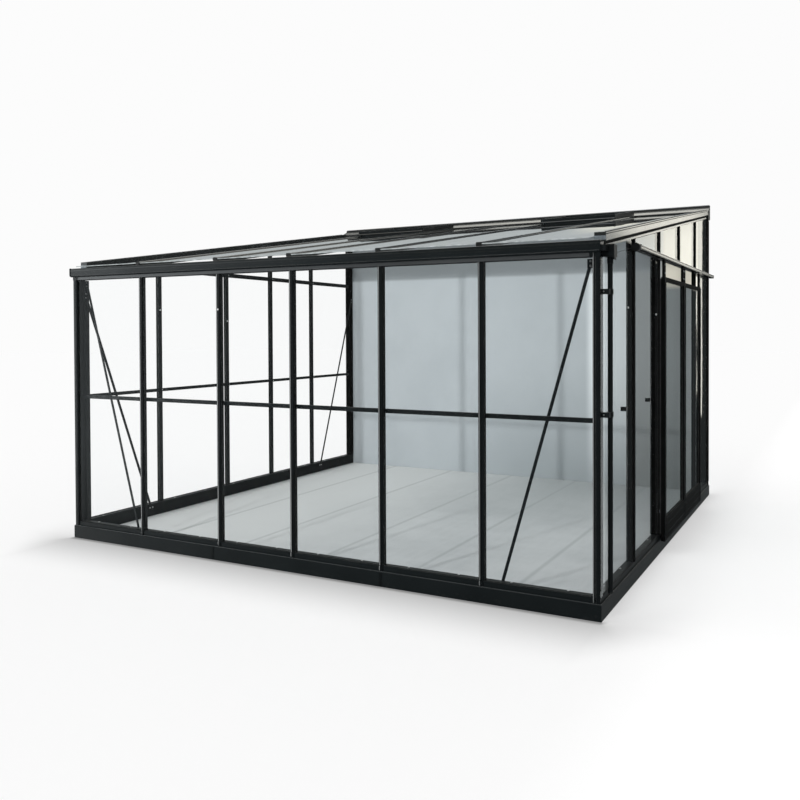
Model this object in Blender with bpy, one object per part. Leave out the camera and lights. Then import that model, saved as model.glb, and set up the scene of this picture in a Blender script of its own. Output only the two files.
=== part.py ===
"""Lean-to greenhouse: an aluminium frame on a plinth, glass walls, a glass roof that
rises to the house side, and a pair of sliding doors on the right gable.

Metres, +Z up. X runs along the front from left to right, Y runs from the front to the
house side. The origin is at ground level in the middle of the bay grid.
"""

import math

import bmesh
import bpy
from mathutils import Vector

# Bay grid
BAY = 0.734                 # spacing of the glazing bars
FRONT_BAYS = 6
SIDE_BAYS = 5
FRONT_SHIFTS = {2: 0.060}   # bars that stand off the even spacing, to the right
LEFT_SHIFTS = {1: 0.050, 2: 0.130, 3: 0.033, 4: -0.020}     # and towards the house

# Heights above the ground
PLINTH_TOP = 0.100          # upper edge of the plinth's outer face
SILL_TOP = 0.135            # where posts and bars stand
FLOOR_TOP = 0.027
MID_RAIL_Z = 1.152          # centre line of the middle rails
EAVES_Z = 2.100             # underside of the eaves beam
HEADER_Z = 2.250            # centre line of the rails at eaves height on the gables
ROOF_FRONT_Z = 2.237        # top of the roof bars over the front grid line
ROOF_RISE = 0.184           # metres of rise for each metre of depth

# Clearances
GAP = 0.0003                # between pieces that touch
RUN = 0.006                 # between pieces that move past each other

# Sections. An offset is measured outwards from the grid line.
FACE = 0.018                # outer face of the wall bars
BAR_WIDTH = 0.038
BAR_DEPTH = 0.022
POST = 0.060                # square wall posts; also the width of sills and of the eaves beam
CORNER_IN = 0.016           # inner faces of the corner posts' outer part
CORNER_LEG = 0.065          # how far back the corner posts' inner leg reaches
CORNER_INNER = -0.027       # inner faces of that leg
GLASS = 0.004
PLINTH_OUT = 0.038          # outer face of the plinth
SILL_LIP = 0.028            # outer face of the sill's lip
GROOVE = 0.008              # how far glass edges enter a groove
CHAMFER = 0.003             # bevel along the outer edges of the profiles
RAIL_HEIGHT = 0.028
RAIL_DEPTH = 0.020
DEEP_BARS = {1: -0.023, 2: -0.039}      # right gable bars with inner faces further in
STUB_REACH = 0.040          # rail brackets on those bars, towards the room
STUB_ROOT = 0.010           # and how deep they run into the bar
HEADER_HEIGHT = 0.040
ROOF_BAR_DEPTH = 0.050
ROOF_GLASS_DROP = 0.018     # from the top of the roof bars down to the glass
RAKE_DEPTH = 0.085          # roof top down to the underside of the rake rail
VERGE_OUT = 0.042
VERGE_LIP = 0.004           # the verge's top above the roof bars
PANE_BACK = 0.004           # roof panes end this far behind the roof bars' lower ends
EAVES_OVERHANG = 0.050      # roof bars reach this far past the front grid line
VERGE_START = 0.045         # verges start this far behind it

# Ridge profile against the house
RIDGE_DEPTH = 0.120
RIDGE_UP = 0.036
RIDGE_FLAT = 0.020          # level strip at the back of its top

# Gutter, part of the eaves beam
GUTTER_OUT = 0.055
GUTTER_WALL = 0.003
GUTTER_NOSE = 0.024         # underside of the gutter above the underside of the beam
GUTTER_BEVEL = 0.006        # sloped lower front corner
GUTTER_RIM_Z = 2.192
GUTTER_END = 0.040          # how far the gutter runs past the side grid lines
END_CAP = 0.008
CAP_PROUD = 0.003           # end caps stand this far beyond the gutter's section
CAP_ROUND = 0.016           # lower corner of the end caps
CAP_TOP_ROUND = 0.006
CAP_STEP_Z = 2.174          # the caps step down here to pass under the verges

# Rainwater pipe
PIPE_RADIUS = 0.015
PIPE_OUT = 0.067            # pipe centre outside the right grid line
PIPE_BACK = 0.045           # pipe centre behind the front grid line
PIPE_BOTTOM_Z = 0.150
PIPE_MOUTH = 0.040          # depth of the open mouth
PIPE_WALL = 0.002
PIPE_SEAM = 0.003           # overlap where one part of the pipe enters the next
SOCKET = 0.003              # the collar is this much larger in radius
COLLAR = 0.040              # height of the collar below the outlet box
OUTLET_LOW_Z = 2.102
OUTLET_HIGH_Z = 2.170
OUTLET_HALF = 0.033         # half the outlet box's width and depth
ARM_LOW_Z = 2.130           # arm from the gutter's end to the outlet box
ARM_HIGH_Z = 2.165
CLIP_ZS = (1.190, 1.900)
CLIP_HEIGHT = 0.030
CLIP_BAND = 0.004
CLIP_ARM = 0.009            # half the width of a clip's arm
PIPE_SIDES = 16

# Roof vents, one bay wide, in these bays
VENT_BAYS = (1, 4)
VENT_LENGTH = 0.700
VENT_HEIGHT = 0.040
VENT_RAIL = 0.038

# Sliding doors in the third and fourth bays of the right gable
DOOR_FIRST_BAY = 2
LEAF_IN = 0.046             # inner face of a door leaf
LEAF_DEPTH = 0.030
LEAF_STILE = 0.042
LEAF_TOP_RAIL = 0.030
LEAF_BOTTOM_RAIL = 0.170
LEAF_BOTTOM_Z = 0.090
LEAF_TOP_Z = 2.080
LEAF_LAP = 0.022            # how far a leaf laps over the bar beside the doorway
LEAF_GAP = 0.006            # between the two leaves when shut
HANGER_WIDTH = 0.045
HANGER_INSET = 0.004
HANGER_ROOT = 0.010         # how deep each part of a hanger runs into the next
PLATE_SLIM = 0.006          # a hanger's plate is this much slimmer than the leaf, each side
STEM_WIDTH = 0.006
STEM_INSET = 0.008
ROLLER_INSET = 0.006
ROLLER_HALF = 0.013
ROLLER_HEIGHT = 0.014
TRACK_BOTTOM_Z = 2.214
TRACK_HEIGHT = 0.028
TRACK_WALL = 0.003
TRACK_IN = 0.042
TRACK_OUT = 0.080
TRACK_FLANGE = 0.007        # height of the flange that carries the track on the bars
TRACK_LEAD = 0.020          # the track starts this far in front of the first gable bar
TRACK_STOP = 0.010          # length of the end stops
STOP_PROUD = 0.002
TRACK_SLOT = 0.016
ROLLER_GAP = 0.0006

# Braces
BRACE_WIDTH = 0.020
BRACE_DEPTH = 0.005
BRACKET = 0.050             # length of the foot brackets
BRACKET_HEIGHT = 0.040
FOOT_DROP = 0.030           # brace feet below the top of the sill
HEAD_DROP = 0.033           # brace heads below the eaves beam
HEAD_HEIGHT = 0.054
FRONT_FOOT_SHORT = 0.110    # foot of a front brace, short of the next bar
GABLE_FOOT_SHORT = 0.090
REAR_FOOT_SHORT = 0.080
GABLE_HEAD_DROP = 0.125     # the gable's front brace starts below the front brace

WIDTH = BAY * FRONT_BAYS
DEPTH = BAY * SIDE_BAYS
LEFT = -WIDTH / 2
RIGHT = WIDTH / 2
FRONT = -DEPTH / 2
REAR = DEPTH / 2
INNER = FACE - BAR_DEPTH                    # offset of the wall bars' inner faces
POST_HALF = POST / 2
GLASS_IN = FACE + GAP
GLASS_OUT = GLASS_IN + GLASS
GROOVE_OUT = GLASS_OUT + GAP
RIDGE_FRONT = REAR - RIDGE_DEPTH


def roof_z(y):
    """Height of the roof bars' top at depth y."""
    return ROOF_FRONT_Z + ROOF_RISE * (y - FRONT)


RIDGE_UNDER_Z = roof_z(RIDGE_FRONT) - RAKE_DEPTH - GAP


def bar_x(i):
    """Where a front bar and its roof bar stand; 0 and FRONT_BAYS are the side grid lines."""
    return LEFT + i * BAY + FRONT_SHIFTS.get(i, 0.0)


def bar_y(side, i):
    """Where a gable bar stands."""
    return FRONT + i * BAY + (LEFT_SHIFTS.get(i, 0.0) if side < 0 else 0.0)


def material(name, colour, roughness, metallic, alpha=1.0):
    mat = bpy.data.materials.new(name)
    mat.use_nodes = True
    shader = mat.node_tree.nodes["Principled BSDF"]
    shader.inputs["Base Color"].default_value = (*colour, 1.0)
    shader.inputs["Roughness"].default_value = roughness
    shader.inputs["Metallic"].default_value = metallic
    shader.inputs["Alpha"].default_value = alpha
    return mat


def frame_finish(name):
    return material(name + "_black_coat", (0.012, 0.017, 0.018), 0.38, 0.0)


def glass_finish(name):
    return material(name + "_clear", (0.75, 0.82, 0.83), 0.04, 0.0, 0.25)


def add_object(name, mesh, finish):
    obj = bpy.data.objects.new(name, mesh)
    bpy.context.scene.collection.objects.link(obj)
    obj.data.materials.append(finish)
    return obj


def sweep(outline, place):
    """A closed mesh: the outline at both ends of a straight run, joined by its sides."""
    bm = bmesh.new()
    ends = [[bm.verts.new(place(a, b, end)) for a, b in outline] for end in (0, 1)]
    bm.faces.new(ends[0])
    bm.faces.new(ends[1])
    count = len(outline)
    for i in range(count):
        j = (i + 1) % count
        bm.faces.new((ends[0][i], ends[0][j], ends[1][j], ends[1][i]))
    bmesh.ops.recalc_face_normals(bm, faces=bm.faces)
    return bm


def to_mesh(bm, name):
    mesh = bpy.data.meshes.new(name)
    bm.to_mesh(mesh)
    bm.free()
    return mesh


def prism(name, outline, place, finish):
    return add_object(name, to_mesh(sweep(outline, place), name), finish)


def rectangle(a0, a1, b0, b1):
    return [(a0, b0), (a1, b0), (a1, b1), (a0, b1)]


def block(x0, x1, y0, y1, z0, z1):
    return sweep(rectangle(x0, x1, y0, y1), lambda a, b, end: (a, b, z1 if end else z0))


def fuse(obj, bm, operation="UNION"):
    """Join or cut a second shape by an exact Boolean, and apply it."""
    other = bpy.data.objects.new(obj.name + "_tool", to_mesh(bm, obj.name + "_tool"))
    bpy.context.scene.collection.objects.link(other)
    step = obj.modifiers.new("join", "BOOLEAN")
    step.operation = operation
    step.solver = "EXACT"
    step.object = other
    graph = bpy.context.evaluated_depsgraph_get()
    result = bpy.data.meshes.new_from_object(obj.evaluated_get(graph))
    obj.modifiers.clear()
    obj.data = result
    bpy.data.objects.remove(other)
    return obj


def upright(name, outline, bottom, top, finish):
    """A vertical piece. top is a height, or a function of y for a raking cut."""
    def place(x, y, end):
        if not end:
            return (x, y, bottom)
        return (x, y, top(y) if callable(top) else top)
    return prism(name, outline, place, finish)


def along_roof(name, outline, y0, y1, finish):
    """A piece under the roof slope: outline in x and height above the roof top."""
    def place(x, up, end):
        y = y1 if end else y0
        return (x, y, roof_z(y) + up)
    return prism(name, outline, place, finish)


def plinth_outline():
    """Offset and height: a box with a ledge, a glass groove and an inner seat."""
    return [
        (-POST_HALF, 0.0),
        (PLINTH_OUT, 0.0),
        (PLINTH_OUT, PLINTH_TOP - CHAMFER),
        (PLINTH_OUT - CHAMFER, PLINTH_TOP),
        (SILL_LIP, PLINTH_TOP),
        (SILL_LIP, SILL_TOP),
        (GROOVE_OUT, SILL_TOP),
        (GROOVE_OUT, SILL_TOP - GROOVE),
        (FACE, SILL_TOP - GROOVE),
        (FACE, SILL_TOP),
        (-POST_HALF, SILL_TOP),
    ]


def make_plinth():
    outline = plinth_outline()

    def front(out, z, end):
        x = WIDTH / 2 + out - GAP
        return (x if end else -x, FRONT - out, z)

    def left(out, z, end):
        return (LEFT - out, REAR if end else FRONT - out + GAP, z)

    def right(out, z, end):
        return (RIGHT + out, REAR if end else FRONT - out + GAP, z)

    for name, place in (("base_front", front), ("base_left", left), ("base_right", right)):
        prism(name, outline, place, material(name + "_coat", (0.020, 0.028, 0.030), 0.42, 0.0))


def make_floor():
    inset = POST_HALF + GAP
    outline = rectangle(LEFT + inset, RIGHT - inset, FRONT + inset, REAR)
    upright("floor_slabs", outline, 0.0, FLOOR_TOP,
            material("floor_paving", (0.42, 0.45, 0.46), 0.7, 0.0))


def corner_post_outline(side):
    """Corner post with a groove for each wall's glass and an inner leg along the gable."""
    h = POST_HALF
    near = -CORNER_IN
    inner = near + GROOVE
    points = [
        (h, h), (near, h), (near, GROOVE_OUT), (inner, GROOVE_OUT), (inner, FACE), (near, FACE),
        (near, CORNER_INNER), (CORNER_INNER, CORNER_INNER), (CORNER_INNER, -CORNER_LEG),
        (FACE, -CORNER_LEG), (FACE, inner),
        (GROOVE_OUT, inner), (GROOVE_OUT, near), (h, near),
    ]
    edge = LEFT if side < 0 else RIGHT
    return [(edge + side * a, FRONT - b) for a, b in points]


def wall_post_outline(side):
    """Post against the house, with a groove for the gable glass."""
    h = POST_HALF
    front = REAR - POST
    points = [
        (-h, REAR), (h, REAR), (h, front), (GROOVE_OUT, front), (GROOVE_OUT, front + GROOVE),
        (FACE, front + GROOVE), (FACE, front), (-h, front),
    ]
    edge = LEFT if side < 0 else RIGHT
    return [(edge + side * a, y) for a, y in points]


def make_posts():
    for side, word in ((-1, "left"), (1, "right")):
        name = "corner_post_" + word
        upright(name, corner_post_outline(side), SILL_TOP + GAP, EAVES_Z - GAP, frame_finish(name))
        name = "wall_post_" + word
        upright(name, wall_post_outline(side), SILL_TOP + GAP, RIDGE_UNDER_Z - GAP, frame_finish(name))


def rake_under(y):
    return roof_z(y) - RAKE_DEPTH - GAP


def gable_bar_outline(side, y):
    edge = LEFT if side < 0 else RIGHT
    xs = sorted((edge + side * INNER, edge + side * FACE))
    return rectangle(xs[0], xs[1], y - BAR_WIDTH / 2, y + BAR_WIDTH / 2)


def make_wall_bars():
    for i in range(1, FRONT_BAYS):
        x = bar_x(i)
        name = "front_bar_%d" % i
        outline = rectangle(x - BAR_WIDTH / 2, x + BAR_WIDTH / 2, FRONT - FACE, FRONT - INNER)
        upright(name, outline, SILL_TOP + GAP, EAVES_Z - GAP, frame_finish(name))
    for side, word in ((-1, "left"), (1, "right")):
        for i in range(1, SIDE_BAYS):
            y = bar_y(side, i)
            name = "%s_bar_%d" % (word, i)
            if side > 0 and i in DEEP_BARS:
                make_deep_bar(name, y, DEEP_BARS[i])
                continue
            over_door = side > 0 and i == DOOR_FIRST_BAY + 1
            bottom = HEADER_Z - HEADER_HEIGHT / 2 if over_door else SILL_TOP + GAP
            upright(name, gable_bar_outline(side, y), bottom, rake_under, frame_finish(name))


def make_deep_bar(name, y, inner):
    """A bar of the right gable, deeper below the header, with a short rail bracket."""
    x = RIGHT + inner
    low = SILL_TOP + GAP
    under = HEADER_Z - HEADER_HEIGHT / 2 - GAP
    outline = [(x, low), (RIGHT + FACE, low), (RIGHT + FACE, None), (RIGHT + INNER, None),
               (RIGHT + INNER, under), (x, under)]

    def place(a, z, end):
        at = y + (BAR_WIDTH / 2 if end else -BAR_WIDTH / 2)
        return (a, at, rake_under(at) if z is None else z)

    bar = prism(name, outline, place, frame_finish(name))
    half = RAIL_HEIGHT / 2
    fuse(bar, block(x - STUB_REACH, x + STUB_ROOT, y - half, y + half,
                    MID_RAIL_Z - half, MID_RAIL_Z + half))


def make_rails():
    back = FRONT - INNER + GAP
    half = RAIL_HEIGHT / 2
    reach = WIDTH / 2 + CORNER_INNER - GAP
    prism("mid_rail_front",
          rectangle(back, back + RAIL_DEPTH, MID_RAIL_Z - half, MID_RAIL_Z + half),
          lambda y, z, end: (reach if end else -reach, y, z), frame_finish("mid_rail_front"))
    y1 = REAR - POST - GAP
    x_in = LEFT - INNER + GAP
    clear = FRONT + CORNER_LEG + GAP
    prism("mid_rail_left",
          rectangle(x_in, x_in + RAIL_DEPTH, MID_RAIL_Z - half, MID_RAIL_Z + half),
          lambda x, z, end: (x, y1 if end else clear, z), frame_finish("mid_rail_left"))
    half = HEADER_HEIGHT / 2
    for side, word in ((-1, "left"), (1, "right")):
        edge = LEFT if side < 0 else RIGHT
        header_front = bar_y(side, 1) - BAR_WIDTH / 2
        near = edge - side * (GAP - INNER)
        far = near - side * RAIL_DEPTH
        outline = rectangle(min(near, far), max(near, far), HEADER_Z - half, HEADER_Z + half)
        name = "header_" + word
        prism(name, outline, lambda x, z, end, y0=header_front: (x, y1 if end else y0, z),
              frame_finish(name))


def eaves_outline():
    """Offset outwards and height: a box beam with a gutter trough along its front."""
    h = POST_HALF
    under = ROOF_BAR_DEPTH + GAP
    low = EAVES_Z + GUTTER_NOSE
    bed = low + GUTTER_WALL
    trough_in = h + GUTTER_WALL
    trough_out = GUTTER_OUT - GUTTER_WALL
    return [
        (-h, EAVES_Z),
        (FACE, EAVES_Z),
        (FACE, EAVES_Z + GROOVE),
        (GROOVE_OUT, EAVES_Z + GROOVE),
        (GROOVE_OUT, EAVES_Z),
        (h + CHAMFER, EAVES_Z),
        (h + CHAMFER, low),
        (GUTTER_OUT - GUTTER_BEVEL, low),
        (GUTTER_OUT, low + GUTTER_BEVEL),
        (GUTTER_OUT, GUTTER_RIM_Z - CHAMFER),
        (GUTTER_OUT - CHAMFER, GUTTER_RIM_Z),
        (trough_out, GUTTER_RIM_Z),
        (trough_out, bed + GUTTER_BEVEL),
        (trough_out - GUTTER_BEVEL, bed),
        (trough_in + CHAMFER, bed),
        (trough_in, bed + CHAMFER),
        (trough_in, roof_z(FRONT - trough_in) - under),
        (-h, roof_z(FRONT + h) - under),
    ]


def make_eaves():
    outline = eaves_outline()
    reach = WIDTH / 2 + GUTTER_END - END_CAP
    beam = prism("eaves_gutter", outline,
                 lambda out, z, end: (reach if end else -reach, FRONT - out, z),
                 frame_finish("eaves_gutter"))
    cap = cap_outline()
    for side in (-1, 1):
        x0 = side * (reach - CAP_PROUD)
        x1 = side * (reach + END_CAP)
        fuse(beam, sweep(cap, lambda out, z, end, a=x0, b=x1: (b if end else a, FRONT - out, z)))


def cap_outline(steps=4):
    """A gutter end cap: rounded at the front, stepped down behind its rim."""
    low = EAVES_Z + GUTTER_NOSE
    high = GUTTER_RIM_Z + CAP_PROUD
    out = GUTTER_OUT + CAP_PROUD
    step = EAVES_OVERHANG + GAP
    back = POST_HALF - CAP_PROUD
    points = [(back, low)]
    for z, radius, start in ((low + CAP_ROUND, CAP_ROUND, -90), (high - CAP_TOP_ROUND, CAP_TOP_ROUND, 0)):
        for i in range(steps + 1):
            turn = math.radians(start + 90 * i / steps)
            points.append((out - radius + radius * math.cos(turn), z + radius * math.sin(turn)))
    return points + [(step, high), (step, CAP_STEP_Z), (back, CAP_STEP_Z)]


def ring(cx, cy, radius, sides=PIPE_SIDES):
    turns = [2 * math.pi * i / sides for i in range(sides)]
    return [(cx + radius * math.cos(turn), cy + radius * math.sin(turn)) for turn in turns]


def make_downpipe():
    """Round pipe at the right corner, under an outlet box at the gutter's end, clipped to the post."""
    cx = RIGHT + PIPE_OUT
    cy = FRONT + PIPE_BACK
    socket = PIPE_RADIUS + SOCKET
    name = "downpipe"
    pipe = upright(name, ring(cx, cy, PIPE_RADIUS), PIPE_BOTTOM_Z, OUTLET_LOW_Z + PIPE_SEAM,
                   frame_finish(name))
    arm0 = FRONT - CLIP_ARM
    for z in CLIP_ZS:
        z0 = z - CLIP_HEIGHT / 2
        z1 = z + CLIP_HEIGHT / 2
        fuse(pipe, block(RIGHT + POST_HALF + GAP, cx, arm0, FRONT + CLIP_ARM, z0, z1))
        fuse(pipe, block(cx - CLIP_ARM, cx + CLIP_ARM, arm0, cy, z0, z1))
        fuse(pipe, tube(ring(cx, cy, PIPE_RADIUS + CLIP_BAND), z0, z1))
    fuse(pipe, tube(ring(cx, cy, socket), OUTLET_LOW_Z - COLLAR, OUTLET_LOW_Z + PIPE_SEAM))
    half = OUTLET_HALF
    fuse(pipe, block(cx - half, cx + half, cy - half, cy + half, OUTLET_LOW_Z, OUTLET_HIGH_Z))
    arm_x = RIGHT + GUTTER_END + GAP
    arm_y = FRONT - GUTTER_OUT + CHAMFER
    fuse(pipe, block(arm_x, cx, arm_y, cy, ARM_LOW_Z, ARM_HIGH_Z))
    mouth = tube(ring(cx, cy, PIPE_RADIUS - PIPE_WALL), 0.0, PIPE_BOTTOM_Z + PIPE_MOUTH)
    fuse(pipe, mouth, "DIFFERENCE")


def tube(outline, z0, z1):
    return sweep(outline, lambda a, b, end: (a, b, z1 if end else z0))


def verge_outline(side):
    inner = -POST_HALF
    slot0 = -ROOF_GLASS_DROP - GLASS - 2 * GAP
    slot1 = -ROOF_GLASS_DROP
    points = [
        (inner, -ROOF_BAR_DEPTH),
        (VERGE_OUT - CHAMFER, -ROOF_BAR_DEPTH),
        (VERGE_OUT, -ROOF_BAR_DEPTH + CHAMFER),
        (VERGE_OUT, VERGE_LIP - CHAMFER),
        (VERGE_OUT - CHAMFER, VERGE_LIP),
        (inner, VERGE_LIP),
        (inner, slot1),
        (inner + GROOVE, slot1),
        (inner + GROOVE, slot0),
        (inner, slot0),
    ]
    edge = LEFT if side < 0 else RIGHT
    return [(edge + side * a, up) for a, up in points]


def rake_outline(side):
    h = POST_HALF
    low = -RAKE_DEPTH
    high = -ROOF_BAR_DEPTH - GAP
    points = [
        (-h, low), (FACE, low), (FACE, low + GROOVE), (GROOVE_OUT, low + GROOVE), (GROOVE_OUT, low),
        (h, low), (h, high), (-h, high),
    ]
    edge = LEFT if side < 0 else RIGHT
    return [(edge + side * a, up) for a, up in points]


def roof_bar_outline(x):
    """A bar with a flat cap, a glass groove each side and a web below."""
    h = BAR_WIDTH / 2
    slot0 = -ROOF_GLASS_DROP - GLASS - 2 * GAP
    slot1 = -ROOF_GLASS_DROP
    right = [
        (h, -ROOF_BAR_DEPTH), (h, slot0), (h - GROOVE, slot0), (h - GROOVE, slot1), (h, slot1),
        (h, -CHAMFER), (h - CHAMFER, 0.0),
    ]
    left = [(-a, up) for a, up in reversed(right)]
    return [(x + a, up) for a, up in right + left]


def make_roof_bars():
    y0 = FRONT - EAVES_OVERHANG
    y1 = RIDGE_FRONT - GAP
    for i in range(1, FRONT_BAYS):
        name = "roof_bar_%d" % i
        along_roof(name, roof_bar_outline(bar_x(i)), y0, y1, frame_finish(name))
    for side, word in ((-1, "left"), (1, "right")):
        name = "verge_" + word
        along_roof(name, verge_outline(side), FRONT + VERGE_START, y1, frame_finish(name))
        name = "rake_rail_" + word
        along_roof(name, rake_outline(side), FRONT + POST_HALF + GAP, y1, frame_finish(name))


def make_ridge():
    top = roof_z(REAR) + RIDGE_UP
    slot_top = roof_z(RIDGE_FRONT) - ROOF_GLASS_DROP
    slot_low = slot_top - GLASS - 2 * GAP - ROOF_RISE * GROOVE
    face_top = roof_z(RIDGE_FRONT) + RIDGE_UP
    outline = [
        (REAR, RIDGE_UNDER_Z),
        (REAR, top),
        (REAR - RIDGE_FLAT, top),
        (RIDGE_FRONT, face_top),
        (RIDGE_FRONT, slot_top + ROOF_RISE * GROOVE),
        (RIDGE_FRONT + GROOVE, slot_top + ROOF_RISE * GROOVE),
        (RIDGE_FRONT + GROOVE, slot_low),
        (RIDGE_FRONT, slot_low),
        (RIDGE_FRONT, RIDGE_UNDER_Z),
    ]
    reach = WIDTH / 2 + VERGE_OUT
    prism("ridge_rail", outline, lambda y, z, end: (reach if end else -reach, y, z),
          frame_finish("ridge_rail"))


def make_wall_glass():
    bottom = SILL_TOP - GROOVE + GAP
    enter = CORNER_IN - GROOVE + GAP
    outline = rectangle(LEFT + enter, RIGHT - enter, bottom, EAVES_Z + GROOVE - GAP)
    prism("glass_front", outline,
          lambda x, z, end: (x, FRONT - (GLASS_IN if end else GLASS_OUT), z), glass_finish("glass_front"))

    def rake_top(y):
        return roof_z(y) - RAKE_DEPTH + GROOVE - GAP

    y_post = FRONT + enter
    y_rake = FRONT + POST_HALF + 2 * GAP
    y_ridge = RIDGE_FRONT - 2 * GAP
    y_wall = REAR - POST + GROOVE - GAP
    under_beam = EAVES_Z - 2 * GAP
    under_ridge = RIDGE_UNDER_Z - GAP
    whole = [
        (y_post, bottom), (y_post, under_beam), (y_rake, under_beam), (y_rake, rake_top(y_rake)),
        (y_ridge, rake_top(y_ridge)), (y_ridge, under_ridge), (y_wall, under_ridge), (y_wall, bottom),
    ]
    sheet("glass_left", whole, LEFT - GLASS_OUT, LEFT - GLASS_IN)
    door_front = FRONT + DOOR_FIRST_BAY * BAY
    door_rear = door_front + 2 * BAY
    head = HEADER_Z
    front_light = whole[:7] + [(y_wall, head), (door_front, head), (door_front, bottom)]
    sheet("glass_right", front_light, RIGHT + GLASS_IN, RIGHT + GLASS_OUT)
    rear_light = rectangle(door_rear, y_wall, bottom, head - 2 * GAP)
    sheet("glass_right_rear", rear_light, RIGHT + GLASS_IN, RIGHT + GLASS_OUT)


def sheet(name, outline, x0, x1):
    prism(name, outline, lambda y, z, end: (x1 if end else x0, y, z), glass_finish(name))


def roof_pane_ends(bay):
    y0 = FRONT - EAVES_OVERHANG + PANE_BACK
    y1 = RIDGE_FRONT + GROOVE - GAP
    if bay in VENT_BAYS:
        y1 = RIDGE_FRONT - VENT_LENGTH + VENT_RAIL
    return y0, y1


def make_roof_glass():
    up1 = -ROOF_GLASS_DROP - GAP
    up0 = up1 - GLASS
    for bay in range(FRONT_BAYS):
        x0 = bar_x(bay) + BAR_WIDTH / 2 - GROOVE + GAP
        x1 = bar_x(bay + 1) - BAR_WIDTH / 2 + GROOVE - GAP
        if bay == 0:
            x0 = LEFT + POST_HALF - GROOVE + GAP
        if bay == FRONT_BAYS - 1:
            x1 = RIGHT - POST_HALF + GROOVE - GAP
        y0, y1 = roof_pane_ends(bay)
        name = "roof_glass_%d" % (bay + 1)
        along_roof(name, rectangle(x0, x1, up0, up1), y0, y1, glass_finish(name))


def make_vents():
    """Two raised vent sashes that lie on the roof bars below the ridge."""
    for number, bay in enumerate(VENT_BAYS, 1):
        x0 = bar_x(bay) - BAR_WIDTH / 2 + GAP
        x1 = bar_x(bay + 1) + BAR_WIDTH / 2 - GAP
        y0 = RIDGE_FRONT - VENT_LENGTH
        y1 = RIDGE_FRONT - GAP
        name = "vent_%d" % number
        sash = along_roof(name, rectangle(x0, x1, GAP, VENT_HEIGHT), y0, y1, frame_finish(name))
        hole = sloped_block(x0 + VENT_RAIL, x1 - VENT_RAIL, y0 + VENT_RAIL, y1 - VENT_RAIL,
                            -VENT_HEIGHT, 2 * VENT_HEIGHT)
        fuse(sash, hole, "DIFFERENCE")
        glass0 = VENT_HEIGHT / 2 - GLASS / 2
        groove = sloped_block(x0 + VENT_RAIL - GROOVE, x1 - VENT_RAIL + GROOVE,
                              y0 + VENT_RAIL - GROOVE, y1 - VENT_RAIL + GROOVE,
                              glass0 - GAP, glass0 + GLASS + GAP)
        fuse(sash, groove, "DIFFERENCE")
        inside0 = bar_x(bay) + BAR_WIDTH / 2 + GAP
        inside1 = bar_x(bay + 1) - BAR_WIDTH / 2 - GAP
        lip = sloped_block(inside0, inside1, y0 + CHAMFER, y0 + VENT_RAIL - CHAMFER,
                           -ROOF_GLASS_DROP, VENT_HEIGHT / 4)
        fuse(sash, lip)
        enter = GROOVE - GAP
        outline = rectangle(x0 + VENT_RAIL - enter, x1 - VENT_RAIL + enter, glass0, glass0 + GLASS)
        along_roof(name + "_glass", outline, y0 + VENT_RAIL - enter, y1 - VENT_RAIL + enter,
                   glass_finish(name + "_glass"))


def sloped_block(x0, x1, y0, y1, up0, up1):
    return sweep(rectangle(x0, x1, up0, up1),
                 lambda x, up, end: (x, y1 if end else y0, roof_z(y1 if end else y0) + up))


def brace(name, low, high, inward, low_pad, high_pad):
    """A flat diagonal between two points, with a bracket at each end.

    inward is the unit vector into the room; the pads are the brackets' two corners.
    """
    direction = (high - low).normalized()
    across = direction.cross(inward)
    corners = [(-BRACE_WIDTH / 2, 0.0), (BRACE_WIDTH / 2, 0.0),
               (BRACE_WIDTH / 2, BRACE_DEPTH), (-BRACE_WIDTH / 2, BRACE_DEPTH)]
    bar = prism(name, corners,
                lambda a, b, end: (high if end else low) + across * a + inward * b, frame_finish(name))
    for pad in (low_pad, high_pad):
        fuse(bar, block(*pad))


def foot_pad(middle):
    """A foot bracket's span along the wall and its height."""
    z = SILL_TOP - FOOT_DROP
    return middle - BRACKET / 2, middle + BRACKET / 2, z - BRACKET_HEIGHT / 2, z + BRACKET_HEIGHT / 2


def head_pad(middle, drop, length=BRACKET_HEIGHT):
    z = EAVES_Z - drop
    return middle - length / 2, middle + length / 2, z - HEAD_HEIGHT / 2, z + HEAD_HEIGHT / 2


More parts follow.
